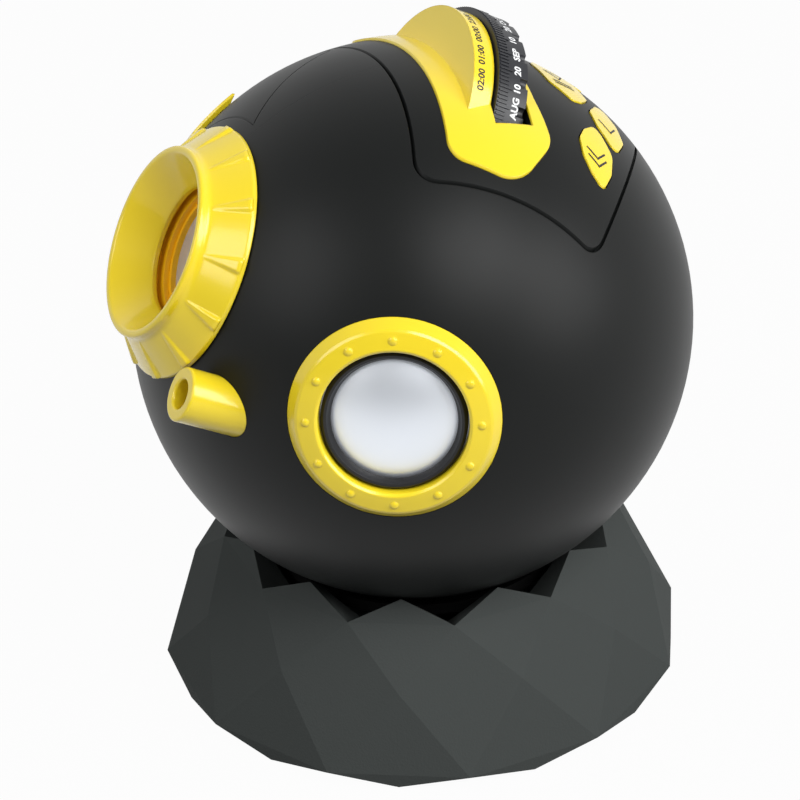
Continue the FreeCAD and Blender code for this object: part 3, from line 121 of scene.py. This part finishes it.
# Focus ring
RING_RIB_COUNT = 13
RING_RIB_PHASE = math.radians(15.3)
RING_STEPS = RING_RIB_COUNT * 48
RING_FILLET_STEPS = 6
RING_ROW = 0.8
RING_GRIP_INNER = 26.0
RING_GRIP_REAR = 73.4
RING_GRIP_FRONT = 81.4
RING_GRIP_HALF_ANGLE = math.radians(3.9)
RING_GRIP_HEIGHT = 1.35
RING_GRIP_TAPER = 0.7
RING_GRIP_FLANK = 2.6
RING_GRIP_START = 0.12
RING_GRIP_FALL = 0.7
RING_CORNERS = (
    (63.4, 23.3, 0.2),
    (63.4, 26.8, 0.2),
    (70.9, 26.8, 0.3),
    (72.3, 34.6, 0.2),
    (72.2, 35.4, 0.4),
    (73.6, 35.4, 0.7),
    (81.8, 26.7, 2.4),
    (84.7, 27.1, 1.1),
    (84.5, 25.0, 1.1),
    (75.6, 18.5, 1.0),
    (74.6, 17.9, 0.5),
    (73.0, 18.4, 0.5),
    (72.9, 23.3, 0.2),
)

# Speaker bezels; the speakers' axes lean forward and down by these shares
SPEAKER_FORWARD = 0.428
SPEAKER_DOWN = 0.057
BEZEL_STEPS = 192
BEZEL_FILLET_STEPS = 5
BEZEL_CORNERS = (
    (74.4, 19.5, 0.2),
    (78.9, 19.8, 0.25),
    (79.6, 20.5, 0.5),
    (78.55, 25.2, 0.25),
    (78.0, 25.9, 0.3),
    (74.9, 28.05, 0.35),
    (74.3, 28.05, 0.1),
    (74.2, 25.4, 0.2),
)
BUMP_COUNT = 12
BUMP_CIRCLE = 22.9
BUMP_DEPTH = 79.0
BUMP_RADIUS = 1.15
BUMP_HEIGHT = 0.62
BUMP_SEGMENTS = 20
BUMP_RINGS = 12

# Sides of the ball, as a sign along b and a word for names
SIDES = ((1, "right"), (-1, "left"))

# Stage
FLOOR_REACH = 6.0
FLOOR_COLOR = (0.3, 0.3, 0.3)
FLOOR_ROUGHNESS = 0.9
FLOOR_DRIFT = 0.02
FLOOR_DRIFT_SCALE = 4.0
FLOOR_GLOW_SHARE = 0.97
WORLD_LIGHT = 0.13
WORLD_WHITE = 1.0
WORLD_WHITE_BEHIND_CAMERA = 0.3
WORLD_FADE_START = -0.2
WORLD_FADE_END = 0.6
LAMP_AIM = Vector((0, 0, 0.1))

# Camera
CAMERA_PLACE = Vector((0.61878, -0.22265, 0.4773))
CAMERA_RIGHT = Vector((0.34983, 0.93629, -0.03146))
CAMERA_UP = Vector((-0.47225, 0.20525, 0.85723))
CAMERA_BACK = CAMERA_RIGHT.cross(CAMERA_UP)
CAMERA_LENS = 118.264
CAMERA_SENSOR = 36.0
CAMERA_NEAR = 0.01
CAMERA_FAR = 50.0


def ball_point(b, a, c):
    """Place in the scene of a point of the ball."""
    return BALL_MATRIX @ Vector((b, -a, c))


# Materials

YELLOW = (0.93, 0.71, 0.020)
PLASTICS = {
    "ball_black": dict(color=(0.0060, 0.0068, 0.0066), roughness=0.44, specular=0.19, edge=0.25,
                       grain=0.05, grain_scale=2500.0),
    "base_plastic": dict(color=(0.058, 0.064, 0.062), roughness=0.7, specular=0.03, edge=0.25, grain=0.6),
    "yellow_plastic": dict(color=YELLOW, roughness=0.24, drift=0.03, edge=0.45, coat=0.3),
    "dial_black": dict(color=(0.012, 0.013, 0.017), roughness=0.38, edge=0.2),
    "soft_rubber": dict(color=(0.008, 0.008, 0.009), roughness=0.5, specular=0.4, edge=0.2, grain=0.1),
    "white_plastic": dict(color=(0.8, 0.8, 0.79), roughness=0.3, edge=0.2),
    "inner_plastic": dict(color=(0.02, 0.02, 0.022), roughness=0.45, edge=0.2),
    "board_green": dict(color=(0.015, 0.12, 0.05), roughness=0.35, edge=0.1),
    # Yellow of the lens parts, brighter and more orange than the yellow plastic: painted bounce light for
    # the shaded opening round the lens
    "inner_yellow": dict(color=(1.0, 0.56, 0.01), roughness=0.3),
    "cup_black": dict(color=(0.006, 0.006, 0.006), roughness=0.6, specular=0.1),
    "print_white": dict(color=(0.86, 0.87, 0.88), roughness=0.5),
    "print_black": dict(color=(0.012, 0.01, 0.01), roughness=0.5),
}
METALS = {
    "dome_silver": dict(color=(0.86, 0.90, 0.96), roughness=0.42),
    "steel": dict(color=(0.55, 0.56, 0.57), roughness=0.32),
    "ballast_iron": dict(color=(0.12, 0.12, 0.13), roughness=0.6),
    "heatsink_aluminium": dict(color=(0.7, 0.71, 0.72), roughness=0.35),
    "contact_brass": dict(color=(0.7, 0.5, 0.2), roughness=0.3),
}
OWN_MATERIALS = {
    # The lens parts take the yellow with painted bounce light instead of the plain yellow plastic
    "lens_cell": "inner_yellow",
    "lens_barrel": "inner_yellow",
    "lens_retainer": "inner_yellow",
    "cradle_cup": "cup_black",
}
COAT_ROUGHNESS = 0.12
GRAIN_DEPTH = 0.0001
EDGE_SAMPLES = 4
PLASTIC_DRIFT_SCALE = 35.0
METAL_DRIFT_SCALE = 60.0
GLASS_COLOR = (0.86, 0.86, 0.90)
GLASS_ROUGHNESS = 0.03
GLASS_SMOOTHEST = 0.02
GLASS_ROUGHEST = 0.05
GLASS_DRIFT_SCALE = 80.0
GLASS_CLEARNESS = 0.45
GLASS_INDEX = 1.5


def new_material(name, color, roughness):
    """Material with a color and roughness, its node tree and its shader."""
    material = bpy.data.materials.new(name)
    material.use_nodes = True
    tree = material.node_tree
    shader = tree.nodes["Principled BSDF"]
    shader.inputs["Base Color"].default_value = (*color, 1.0)
    shader.inputs["Roughness"].default_value = roughness
    return material, tree, shader


def add_noise(tree, scale, detail=3.0):
    """Noise over the object's own place."""
    place = tree.nodes.new("ShaderNodeTexCoord")
    noise = tree.nodes.new("ShaderNodeTexNoise")
    noise.inputs["Scale"].default_value = scale
    noise.inputs["Detail"].default_value = detail
    tree.links.new(place.outputs["Object"], noise.inputs["Vector"])
    return noise.outputs["Fac"]


def drift_roughness(tree, shader, scale, low, high):
    """Let the roughness wander between two values over the surface."""
    span = tree.nodes.new("ShaderNodeMapRange")
    span.inputs["To Min"].default_value = low
    span.inputs["To Max"].default_value = high
    tree.links.new(add_noise(tree, scale), span.inputs["Value"])
    tree.links.new(span.outputs["Result"], shader.inputs["Roughness"])


def plastic(name, color, roughness, drift=0.04, specular=0.5, coat=0.0, edge=0.0,
            grain=0.0, grain_scale=1500.0):
    """Plastic with a drifting roughness, edges rounded in the shading and a fine moulded grain."""
    material, tree, shader = new_material(name, color, roughness)
    shader.inputs["Specular IOR Level"].default_value = specular
    shader.inputs["Coat Weight"].default_value = coat
    shader.inputs["Coat Roughness"].default_value = COAT_ROUGHNESS
    drift_roughness(tree, shader, PLASTIC_DRIFT_SCALE, roughness - drift, roughness + drift)
    normal = None
    if edge > 0:
        bevel = tree.nodes.new("ShaderNodeBevel")
        bevel.samples = EDGE_SAMPLES
        bevel.inputs["Radius"].default_value = edge * MM
        normal = bevel.outputs["Normal"]
        tree.links.new(normal, shader.inputs["Normal"])
    if grain > 0:
        bump = tree.nodes.new("ShaderNodeBump")
        bump.inputs["Strength"].default_value = grain
        bump.inputs["Distance"].default_value = GRAIN_DEPTH
        tree.links.new(add_noise(tree, grain_scale, 2.0), bump.inputs["Height"])
        if normal is not None:
            tree.links.new(normal, bump.inputs["Normal"])
        tree.links.new(bump.outputs["Normal"], shader.inputs["Normal"])
    return material


def metal(name, color, roughness, drift=0.04):
    """Plain metal with a drifting roughness."""
    material, tree, shader = new_material(name, color, roughness)
    shader.inputs["Metallic"].default_value = 1.0
    drift_roughness(tree, shader, METAL_DRIFT_SCALE, roughness - drift, roughness + drift)
    return material


def glass(name):
    """Coated lens glass, partly milky, so that the dark inside of the ball shows through only faintly."""
    material, tree, shader = new_material(name, GLASS_COLOR, GLASS_ROUGHNESS)
    shader.inputs["Transmission Weight"].default_value = GLASS_CLEARNESS
    shader.inputs["IOR"].default_value = GLASS_INDEX
    drift_roughness(tree, shader, GLASS_DRIFT_SCALE, GLASS_SMOOTHEST, GLASS_ROUGHEST)
    return material


materials = {"lens_glass": glass("lens_glass")}
for name, look in PLASTICS.items():
    materials[name] = plastic(name, **look)
for name, look in METALS.items():
    materials[name] = metal(name, **look)


# Shading of the CAD nodes

def soften(thing, limit):
    """Average the normals over neighbouring faces that meet at less than the limit."""
    mesh = thing.data
    faces = mesh.polygons
    corners = [tuple(round(number, 6) for number in vertex.co) for vertex in mesh.vertices]
    sharing = {}
    for face in faces:
        for index in face.vertices:
            sharing.setdefault(corners[index], []).append(face.index)
    least = math.cos(limit)
    normals = []
    for face in faces:
        for index in face.vertices:
            total = Vector()
            for other in sharing[corners[index]]:
                if faces[other].normal.dot(face.normal) > least:
                    total += faces[other].normal * faces[other].area
            normals.append(tuple(total.normalized() if total.length > 0 else face.normal))
    faces.foreach_set("use_smooth", [True] * len(faces))
    mesh.normals_split_custom_set(normals)


def round_ball(thing):
    """Give the faces that lie on the ball's outer surface the ball's own normals."""
    mesh = thing.data
    limit = (BALL_RADIUS - BALL_SKIN_DEPTH) * MM
    normals = [tuple(corner.vector) for corner in mesh.corner_normals]
    for face in mesh.polygons:
        out = (face.center - BALL_CENTRE).normalized()
        if face.normal.dot(out) < BALL_SKIN_FACING:
            continue
        for loop in face.loop_indices:
            away = mesh.vertices[mesh.loops[loop].vertex_index].co - BALL_CENTRE
            if away.length > limit:
                normals[loop] = tuple(away.normalized())
    mesh.normals_split_custom_set(normals)


slot_of = {entry["node"]: entry["material_slot"] for entry in frame["record"]["subparts"]}
for name, node in nodes.items():
    node.data.materials.clear()
    node.data.materials.append(materials[OWN_MATERIALS.get(name, slot_of[name])])
    soften(node, FACET_LIMIT if name in FACETED_NODES else SMOOTH_LIMIT)
for name in BALL_SKIN_NODES:
    round_ball(nodes[name])


# Helpers for added pieces

def add_object(name, mesh, material, body):
    """Piece of the object that rides on a body."""
    thing = bpy.data.objects.new(name, mesh)
    bpy.context.scene.collection.objects.link(thing)
    mesh.materials.append(material)
    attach(thing, body)
    return thing


def mesh_from(name, vertices, faces, smooth=False):
    """Mesh of vertices and faces, flat shaded unless it is smooth."""
    mesh = bpy.data.meshes.new(name)
    mesh.from_pydata([tuple(vertex) for vertex in vertices], [], faces)
    mesh.update()
    if smooth:
        mesh.polygons.foreach_set("use_smooth", [True] * len(mesh.polygons))
    return mesh


def outward(mesh):
    """Turn all faces of a closed mesh to the outside."""
    work = bmesh.new()
    work.from_mesh(mesh)
    bmesh.ops.recalc_face_normals(work, faces=work.faces)
    work.to_mesh(mesh)
    work.free()
    return mesh


def rounded_profile(corners, steps):
    """Closed outline from (depth, radius, fillet) corners, each fillet as a row of points."""
    points = []
    for index, (depth, radius, fillet) in enumerate(corners):
        here = Vector((depth, radius))
        before = Vector(corners[index - 1][:2])
        after = Vector(corners[(index + 1) % len(corners)][:2])
        to_before = (before - here).normalized()
        to_after = (after - here).normalized()
        reach = fillet / math.tan(to_before.angle(to_after) / 2)
        start = here + to_before * reach
        end = here + to_after * reach
        for step in range(steps + 1):
            share = step / steps
            near = start.lerp(here, share)
            far = here.lerp(end, share)
            points.append(near.lerp(far, share))
    return points


def lathe(name, profile, steps, place, rise=None):
    """Turn a closed outline of (depth, radius) points into a ring; rise adds to its radius."""
    vertices = []
    faces = []
    rows = len(profile)
    for step in range(steps):
        turn = 2 * math.pi * step / steps
        for depth, radius in profile:
            out = radius + (rise(turn, depth, radius) if rise else 0.0)
            vertices.append(place(out * math.sin(turn), depth, out * math.cos(turn)))
    for step in range(steps):
        after = (step + 1) % steps
        for row in range(rows):
            following = (row + 1) % rows
            faces.append((step * rows + row, step * rows + following,
                          after * rows + following, after * rows + row))
    return mesh_from(name, vertices, faces, smooth=True)


# Dates and ticks on the wheel, hours on the hump

def dial_point(radius, turn, depth):
    """Point at a radius and angle round the wheel's axis."""
    return ball_point(radius * math.sin(turn), depth, DIAL_HEIGHT + radius * math.cos(turn))


def glyphs(text, weight):
    """Vertices and faces of a line of text, centred on the origin."""
    curve = bpy.data.curves.new("glyphs", "FONT")
    curve.body = text
    curve.size = PRINT_HEIGHT / CAPITAL_SHARE
    curve.offset = weight
    curve.align_x = "CENTER"
    curve.align_y = "CENTER"
    curve.resolution_u = PRINT_RESOLUTION
    holder = bpy.data.objects.new("glyphs", curve)
    bpy.context.scene.collection.objects.link(holder)
    bpy.context.view_layer.update()
    flat = bpy.data.meshes.new_from_object(holder.evaluated_get(bpy.context.evaluated_depsgraph_get()))
    points = [(vertex.co.x, vertex.co.y) for vertex in flat.vertices]
    faces = [tuple(face.vertices) for face in flat.polygons]
    bpy.data.objects.remove(holder)
    bpy.data.curves.remove(curve)
    bpy.data.meshes.remove(flat)
    heights = [y for x, y in points]
    middle = (min(heights) + max(heights)) / 2
    return [(x, y - middle) for x, y in points], faces


def ring_text(name, labels, radius, depth, weight, material, body):
    """Labels laid round the wheel's axis, each a pair of text and angle in degrees."""
    vertices = []
    faces = []
    for text, angle in labels:
        points, polygons = glyphs(text, weight)
        first = len(vertices)
        for x, y in points:
            vertices.append(dial_point(radius, math.radians(angle) - x / radius, depth + y))
        for polygon in polygons:
            faces.append(tuple(first + index for index in polygon))
    add_object(name, mesh_from(name, vertices, faces), material, body)


def wheel_ticks():
    """Closed bar for each tick, every fifth one longer."""
    vertices = []
    faces = []
    box = ((0, 1, 3, 2), (4, 6, 7, 5), (0, 4, 5, 1), (2, 3, 7, 6), (0, 2, 6, 4), (1, 5, 7, 3))
    for index in range(TICK_COUNT):
        turn = 2 * math.pi * index / TICK_COUNT
        extra = LONG_TICK_EXTRA if index % TICKS_PER_LONG_ONE == 0 else 0.0
        first = len(vertices)
        for radius in (WHEEL_RADIUS - TICK_SUNK, WHEEL_RADIUS + TICK_PROUD):
            for depth in (TICK_REAR - extra, TICK_FRONT):
                for aside in (-TICK_HALF_ANGLE, TICK_HALF_ANGLE):
                    vertices.append(dial_point(radius, turn + aside, depth))
        for corners in box:
            faces.append(tuple(first + corner for corner in corners))
    return outward(mesh_from("date_ticks", vertices, faces))


date_labels = []
for index, month in enumerate(MONTHS):
    start = AUGUST_ANGLE - (index - AUGUST) * 3 * DATE_STEP
    date_labels.append((month, start))
    date_labels.append(("10", start - DATE_STEP))
    date_labels.append(("20", start - 2 * DATE_STEP))
ring_text("date_labels", date_labels, WHEEL_RADIUS + PRINT_PROUD, DATE_DEPTH, DATE_WEIGHT,
          materials["print_white"], "date_wheel_body")

hour_labels = []
for index in range(HOUR_COUNT):
    hour = (FIRST_HOUR - index) % 24
    hour_labels.append(("%02d:00" % hour, FIRST_HOUR_ANGLE - index * HOUR_STEP))
ring_text("hour_labels", hour_labels, HUMP_RADIUS + PRINT_PROUD, HOUR_DEPTH, HOUR_WEIGHT,
          materials["print_black"], "ball")


# Button marks

def mark_point(b, a):
    """Point over b and a on the sphere of the marks."""
    return ball_point(b, a, math.sqrt(MARK_RADIUS ** 2 - b ** 2 - a ** 2))


def add_stroke(points, width, vertices, faces):
    """Flat lines with square ends through (b, a) points, laid on the sphere of the marks."""
    for start, end in zip(points, points[1:]):
        along = Vector(end) - Vector(start)
        pieces = max(2, int(along.length / MARK_PIECE))
        along.normalize()
        across = Vector((-along.y, along.x)) * width / 2
        begin = Vector(start) - along * width / 2
        finish = Vector(end) + along * width / 2
        first = len(vertices)
        for piece in range(pieces + 1):
            middle = begin.lerp(finish, piece / pieces)
            for side in (-1, 1):
                spot = middle + across * side
                vertices.append(mark_point(spot.x, spot.y))
        for piece in range(pieces):
            corner = first + piece * 2
            faces.append((corner, corner + 1, corner + 3, corner + 2))


def button_mark(name, button, strokes):
    """Mark of (points, width) strokes that rides on a button."""
    vertices = []
    faces = []
    for points, width in strokes:
        add_stroke(points, width, vertices, faces)
    mesh = mesh_from(name, vertices, faces)
    add_object(name, mesh, materials["print_black"], button + "_body")


def arrow(side, tip, length, depth):
    """Arrow head that points away from the middle of the panel."""
    foot = side * (tip - length)
    points = [(foot, depth + ARROW_HALF), (side * tip, depth), (foot, depth - ARROW_HALF)]
    return points, MARK_WIDTH


def play_strokes():
    """Triangle and the two bars of the play mark."""
    triangle = [(PLAY_LEFT, PLAY_FRONT), (PLAY_TIP, PLAY_MIDDLE), (PLAY_LEFT, PLAY_REAR),
                (PLAY_LEFT, PLAY_FRONT)]
    bars = [([(b, PLAY_FRONT), (b, PLAY_REAR)], BAR_WIDTH) for b in PAUSE_BARS]
    return [(triangle, MARK_WIDTH)] + bars


for side, word in SIDES:
    volume_arrows = [arrow(side, tip, VOLUME_ARROW_LENGTH, VOLUME_ARROW_DEPTH) for tip in VOLUME_ARROW_TIPS]
    button_mark("volume_mark_" + word, "volume_" + word + "_button", volume_arrows)
    speed_arrow = arrow(side, SPEED_ARROW_TIP, SPEED_ARROW_LENGTH, SPEED_ARROW_DEPTH)
    button_mark("speed_mark_" + word, "speed_" + word + "_button", [speed_arrow])
button_mark("play_mark", "play_button", play_strokes())
add_object("date_ticks", wheel_ticks(), materials["dial_black"], "date_wheel_body")


# Focus ring with its wedge-shaped grips

def ring_grip(turn, depth, radius):
    """Height of the grips over the outer cone at this angle and depth."""
    if radius < RING_GRIP_INNER or depth < RING_GRIP_REAR or depth > RING_GRIP_FRONT:
        return 0.0
    step = 2 * math.pi / RING_RIB_COUNT
    offset = (turn - RING_RIB_PHASE + step / 2) % step - step / 2
    share = (depth - RING_GRIP_REAR) / (RING_GRIP_FRONT - RING_GRIP_REAR)
    half = RING_GRIP_HALF_ANGLE * (1.0 - RING_GRIP_TAPER * share)
    inside = 1.0 - abs(offset) / half
    if inside <= 0:
        return 0.0
    flank = min(1.0, inside * RING_GRIP_FLANK)
    flank = flank * flank * (3 - 2 * flank)
    start = min(1.0, share / RING_GRIP_START)
    return RING_GRIP_HEIGHT * flank * start * (1.0 - share) ** RING_GRIP_FALL


def with_rows(outline):
    """The outline with further points on its long straight runs, for the grips to rise from."""
    points = []
    for index, point in enumerate(outline):
        following = outline[(index + 1) % len(outline)]
        points.append(point)
        run = (following - point).length
        if run > 2 * RING_ROW:
            parts = int(run / RING_ROW)
            for part in range(1, parts):
                points.append(point.lerp(following, part / parts))
    return points


ring_profile = with_rows(rounded_profile(RING_CORNERS, RING_FILLET_STEPS))
ring_mesh = outward(lathe("focus_ring_skin", ring_profile, RING_STEPS, ball_point, ring_grip))
ring = add_object("focus_ring_skin", ring_mesh, materials["yellow_plastic"], "focus_ring_body")
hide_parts("focus_ring")


# Speaker bezels with their bumps

def speaker_matrix(side):
    """Turns a speaker's own directions, with z out of the ball, into the scene's."""
    across = math.sqrt(1 - SPEAKER_FORWARD ** 2 - SPEAKER_DOWN ** 2)
    axis = Vector((side * across, -SPEAKER_FORWARD, -SPEAKER_DOWN))
    turn = Vector((0, 0, 1)).rotation_difference(axis).to_matrix().to_4x4()
    return BALL_MATRIX @ turn


def bezel_mesh(name, spot):
    """Turned bezel and a ring of flat round bumps on its face."""
    mesh = lathe(name, rounded_profile(BEZEL_CORNERS, BEZEL_FILLET_STEPS), BEZEL_STEPS,
                 lambda x, depth, y: spot @ Vector((x, y, depth)))
    flatten = Matrix.Diagonal((BUMP_RADIUS, BUMP_RADIUS, BUMP_HEIGHT, 1.0))
    work = bmesh.new()
    work.from_mesh(mesh)
    for index in range(BUMP_COUNT):
        turn = index * 2 * math.pi / BUMP_COUNT
        centre = Matrix.Translation((BUMP_CIRCLE * math.cos(turn), BUMP_CIRCLE * math.sin(turn), BUMP_DEPTH))
        bmesh.ops.create_uvsphere(work, u_segments=BUMP_SEGMENTS, v_segments=BUMP_RINGS, radius=1.0,
                                  matrix=spot @ centre @ flatten)
    bmesh.ops.recalc_face_normals(work, faces=work.faces)
    for face in work.faces:
        face.smooth = True
    work.to_mesh(mesh)
    work.free()
    return mesh


for side, word in SIDES:
    name = word + "_bezel_skin"
    bezel = add_object(name, bezel_mesh(name, speaker_matrix(side)), materials["yellow_plastic"],
                       "ball")
    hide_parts(word + "_speaker_bezel")


# Stage: floor, world, lamps and camera

def seen_directly(tree):
    """One for camera, glossy and transmission rays, so that glass and metal show the white background."""
    path = tree.nodes.new("ShaderNodeLightPath")
    seen = path.outputs["Is Camera Ray"]
    for kind in ("Is Glossy Ray", "Is Transmission Ray"):
        either = tree.nodes.new("ShaderNodeMath")
        either.operation = "MAXIMUM"
        tree.links.new(seen, either.inputs[0])
        tree.links.new(path.outputs[kind], either.inputs[1])
        seen = either.outputs["Value"]
    return seen


def stage_floor():
    """Plain floor that looks white, gives little light back and keeps the object's shadow."""
    corners = [(-FLOOR_REACH, -FLOOR_REACH, 0), (FLOOR_REACH, -FLOOR_REACH, 0),
               (FLOOR_REACH, FLOOR_REACH, 0), (-FLOOR_REACH, FLOOR_REACH, 0)]
    mesh = mesh_from("floor", corners, [(0, 1, 2, 3)])
    thing = bpy.data.objects.new("floor", mesh)
    bpy.context.scene.collection.objects.link(thing)
    material, tree, shader = new_material("floor_white", FLOOR_COLOR, FLOOR_ROUGHNESS)
    shader.inputs["Specular IOR Level"].default_value = 0.0
    drift_roughness(tree, shader, FLOOR_DRIFT_SCALE,
                    FLOOR_ROUGHNESS - FLOOR_DRIFT, FLOOR_ROUGHNESS + FLOOR_DRIFT)
    glow = tree.nodes.new("ShaderNodeEmission")
    glow.inputs["Color"].default_value = (1.0, 1.0, 1.0, 1.0)
    glow.inputs["Strength"].default_value = 1.0
    share = tree.nodes.new("ShaderNodeMath")
    share.operation = "MULTIPLY"
    share.inputs[1].default_value = FLOOR_GLOW_SHARE
    tree.links.new(seen_directly(tree), share.inputs[0])
    mix = tree.nodes.new("ShaderNodeMixShader")
    tree.links.new(share.outputs["Value"], mix.inputs["Fac"])
    tree.links.new(shader.outputs["BSDF"], mix.inputs[1])
    tree.links.new(glow.outputs["Emission"], mix.inputs[2])
    tree.links.new(mix.outputs["Shader"], tree.nodes["Material Output"].inputs["Surface"])
    mesh.materials.append(material)


def stage_world():
    """Soft white light all round; seen directly it is white, and fades on the camera's own side."""
    world = bpy.data.worlds.new("studio")
    bpy.context.scene.world = world
    world.use_nodes = True
    tree = world.node_tree
    back = tree.nodes["Background"]
    back.inputs["Color"].default_value = (1.0, 1.0, 1.0, 1.0)
    place = tree.nodes.new("ShaderNodeTexCoord")
    toward_camera = tree.nodes.new("ShaderNodeVectorMath")
    toward_camera.operation = "DOT_PRODUCT"
    toward_camera.inputs[1].default_value = CAMERA_BACK
    tree.links.new(place.outputs["Generated"], toward_camera.inputs[0])
    white = tree.nodes.new("ShaderNodeMapRange")
    white.inputs["From Min"].default_value = WORLD_FADE_START
    white.inputs["From Max"].default_value = WORLD_FADE_END
    white.inputs["To Min"].default_value = WORLD_WHITE
    white.inputs["To Max"].default_value = WORLD_WHITE_BEHIND_CAMERA
    tree.links.new(toward_camera.outputs["Value"], white.inputs["Value"])
    strength = tree.nodes.new("ShaderNodeMapRange")
    strength.inputs["To Min"].default_value = WORLD_LIGHT
    tree.links.new(white.outputs["Result"], strength.inputs["To Max"])
    tree.links.new(seen_directly(tree), strength.inputs["Value"])
    tree.links.new(strength.outputs["Result"], back.inputs["Strength"])


def stage_lamp(name, place, size, power):
    """Square soft lamp that is aimed at the object."""
    data = bpy.data.lights.new(name, "AREA")
    data.shape = "RECTANGLE"
    data.size = size
    data.size_y = size
    data.energy = power
    thing = bpy.data.objects.new(name, data)
    thing.location = place
    thing.rotation_mode = "QUATERNION"
    thing.rotation_quaternion = (Vector(place) - LAMP_AIM).to_track_quat("Z", "Y")
    bpy.context.scene.collection.objects.link(thing)


def stage_camera():
    """Camera at the photograph's viewing angle."""
    data = bpy.data.cameras.new("camera")
    data.lens = CAMERA_LENS
    data.sensor_width = CAMERA_SENSOR
    data.clip_start = CAMERA_NEAR
    data.clip_end = CAMERA_FAR
    thing = bpy.data.objects.new("camera", data)
    turn = Matrix((CAMERA_RIGHT, CAMERA_UP, CAMERA_BACK)).transposed()
    thing.matrix_world = Matrix.Translation(CAMERA_PLACE) @ turn.to_4x4()
    bpy.context.scene.collection.objects.link(thing)
    bpy.context.scene.camera = thing


stage_floor()
stage_world()
stage_lamp("key", (0.76, 0.82, 0.60), 0.6, 7.5)
stage_lamp("front", (0.72, 0.25, 1.0), 0.6, 9.0)
stage_lamp("side", (0.2, -1.0, 0.9), 0.7, 6.0)
stage_camera()
bpy.context.scene.view_settings.view_transform = "Standard"
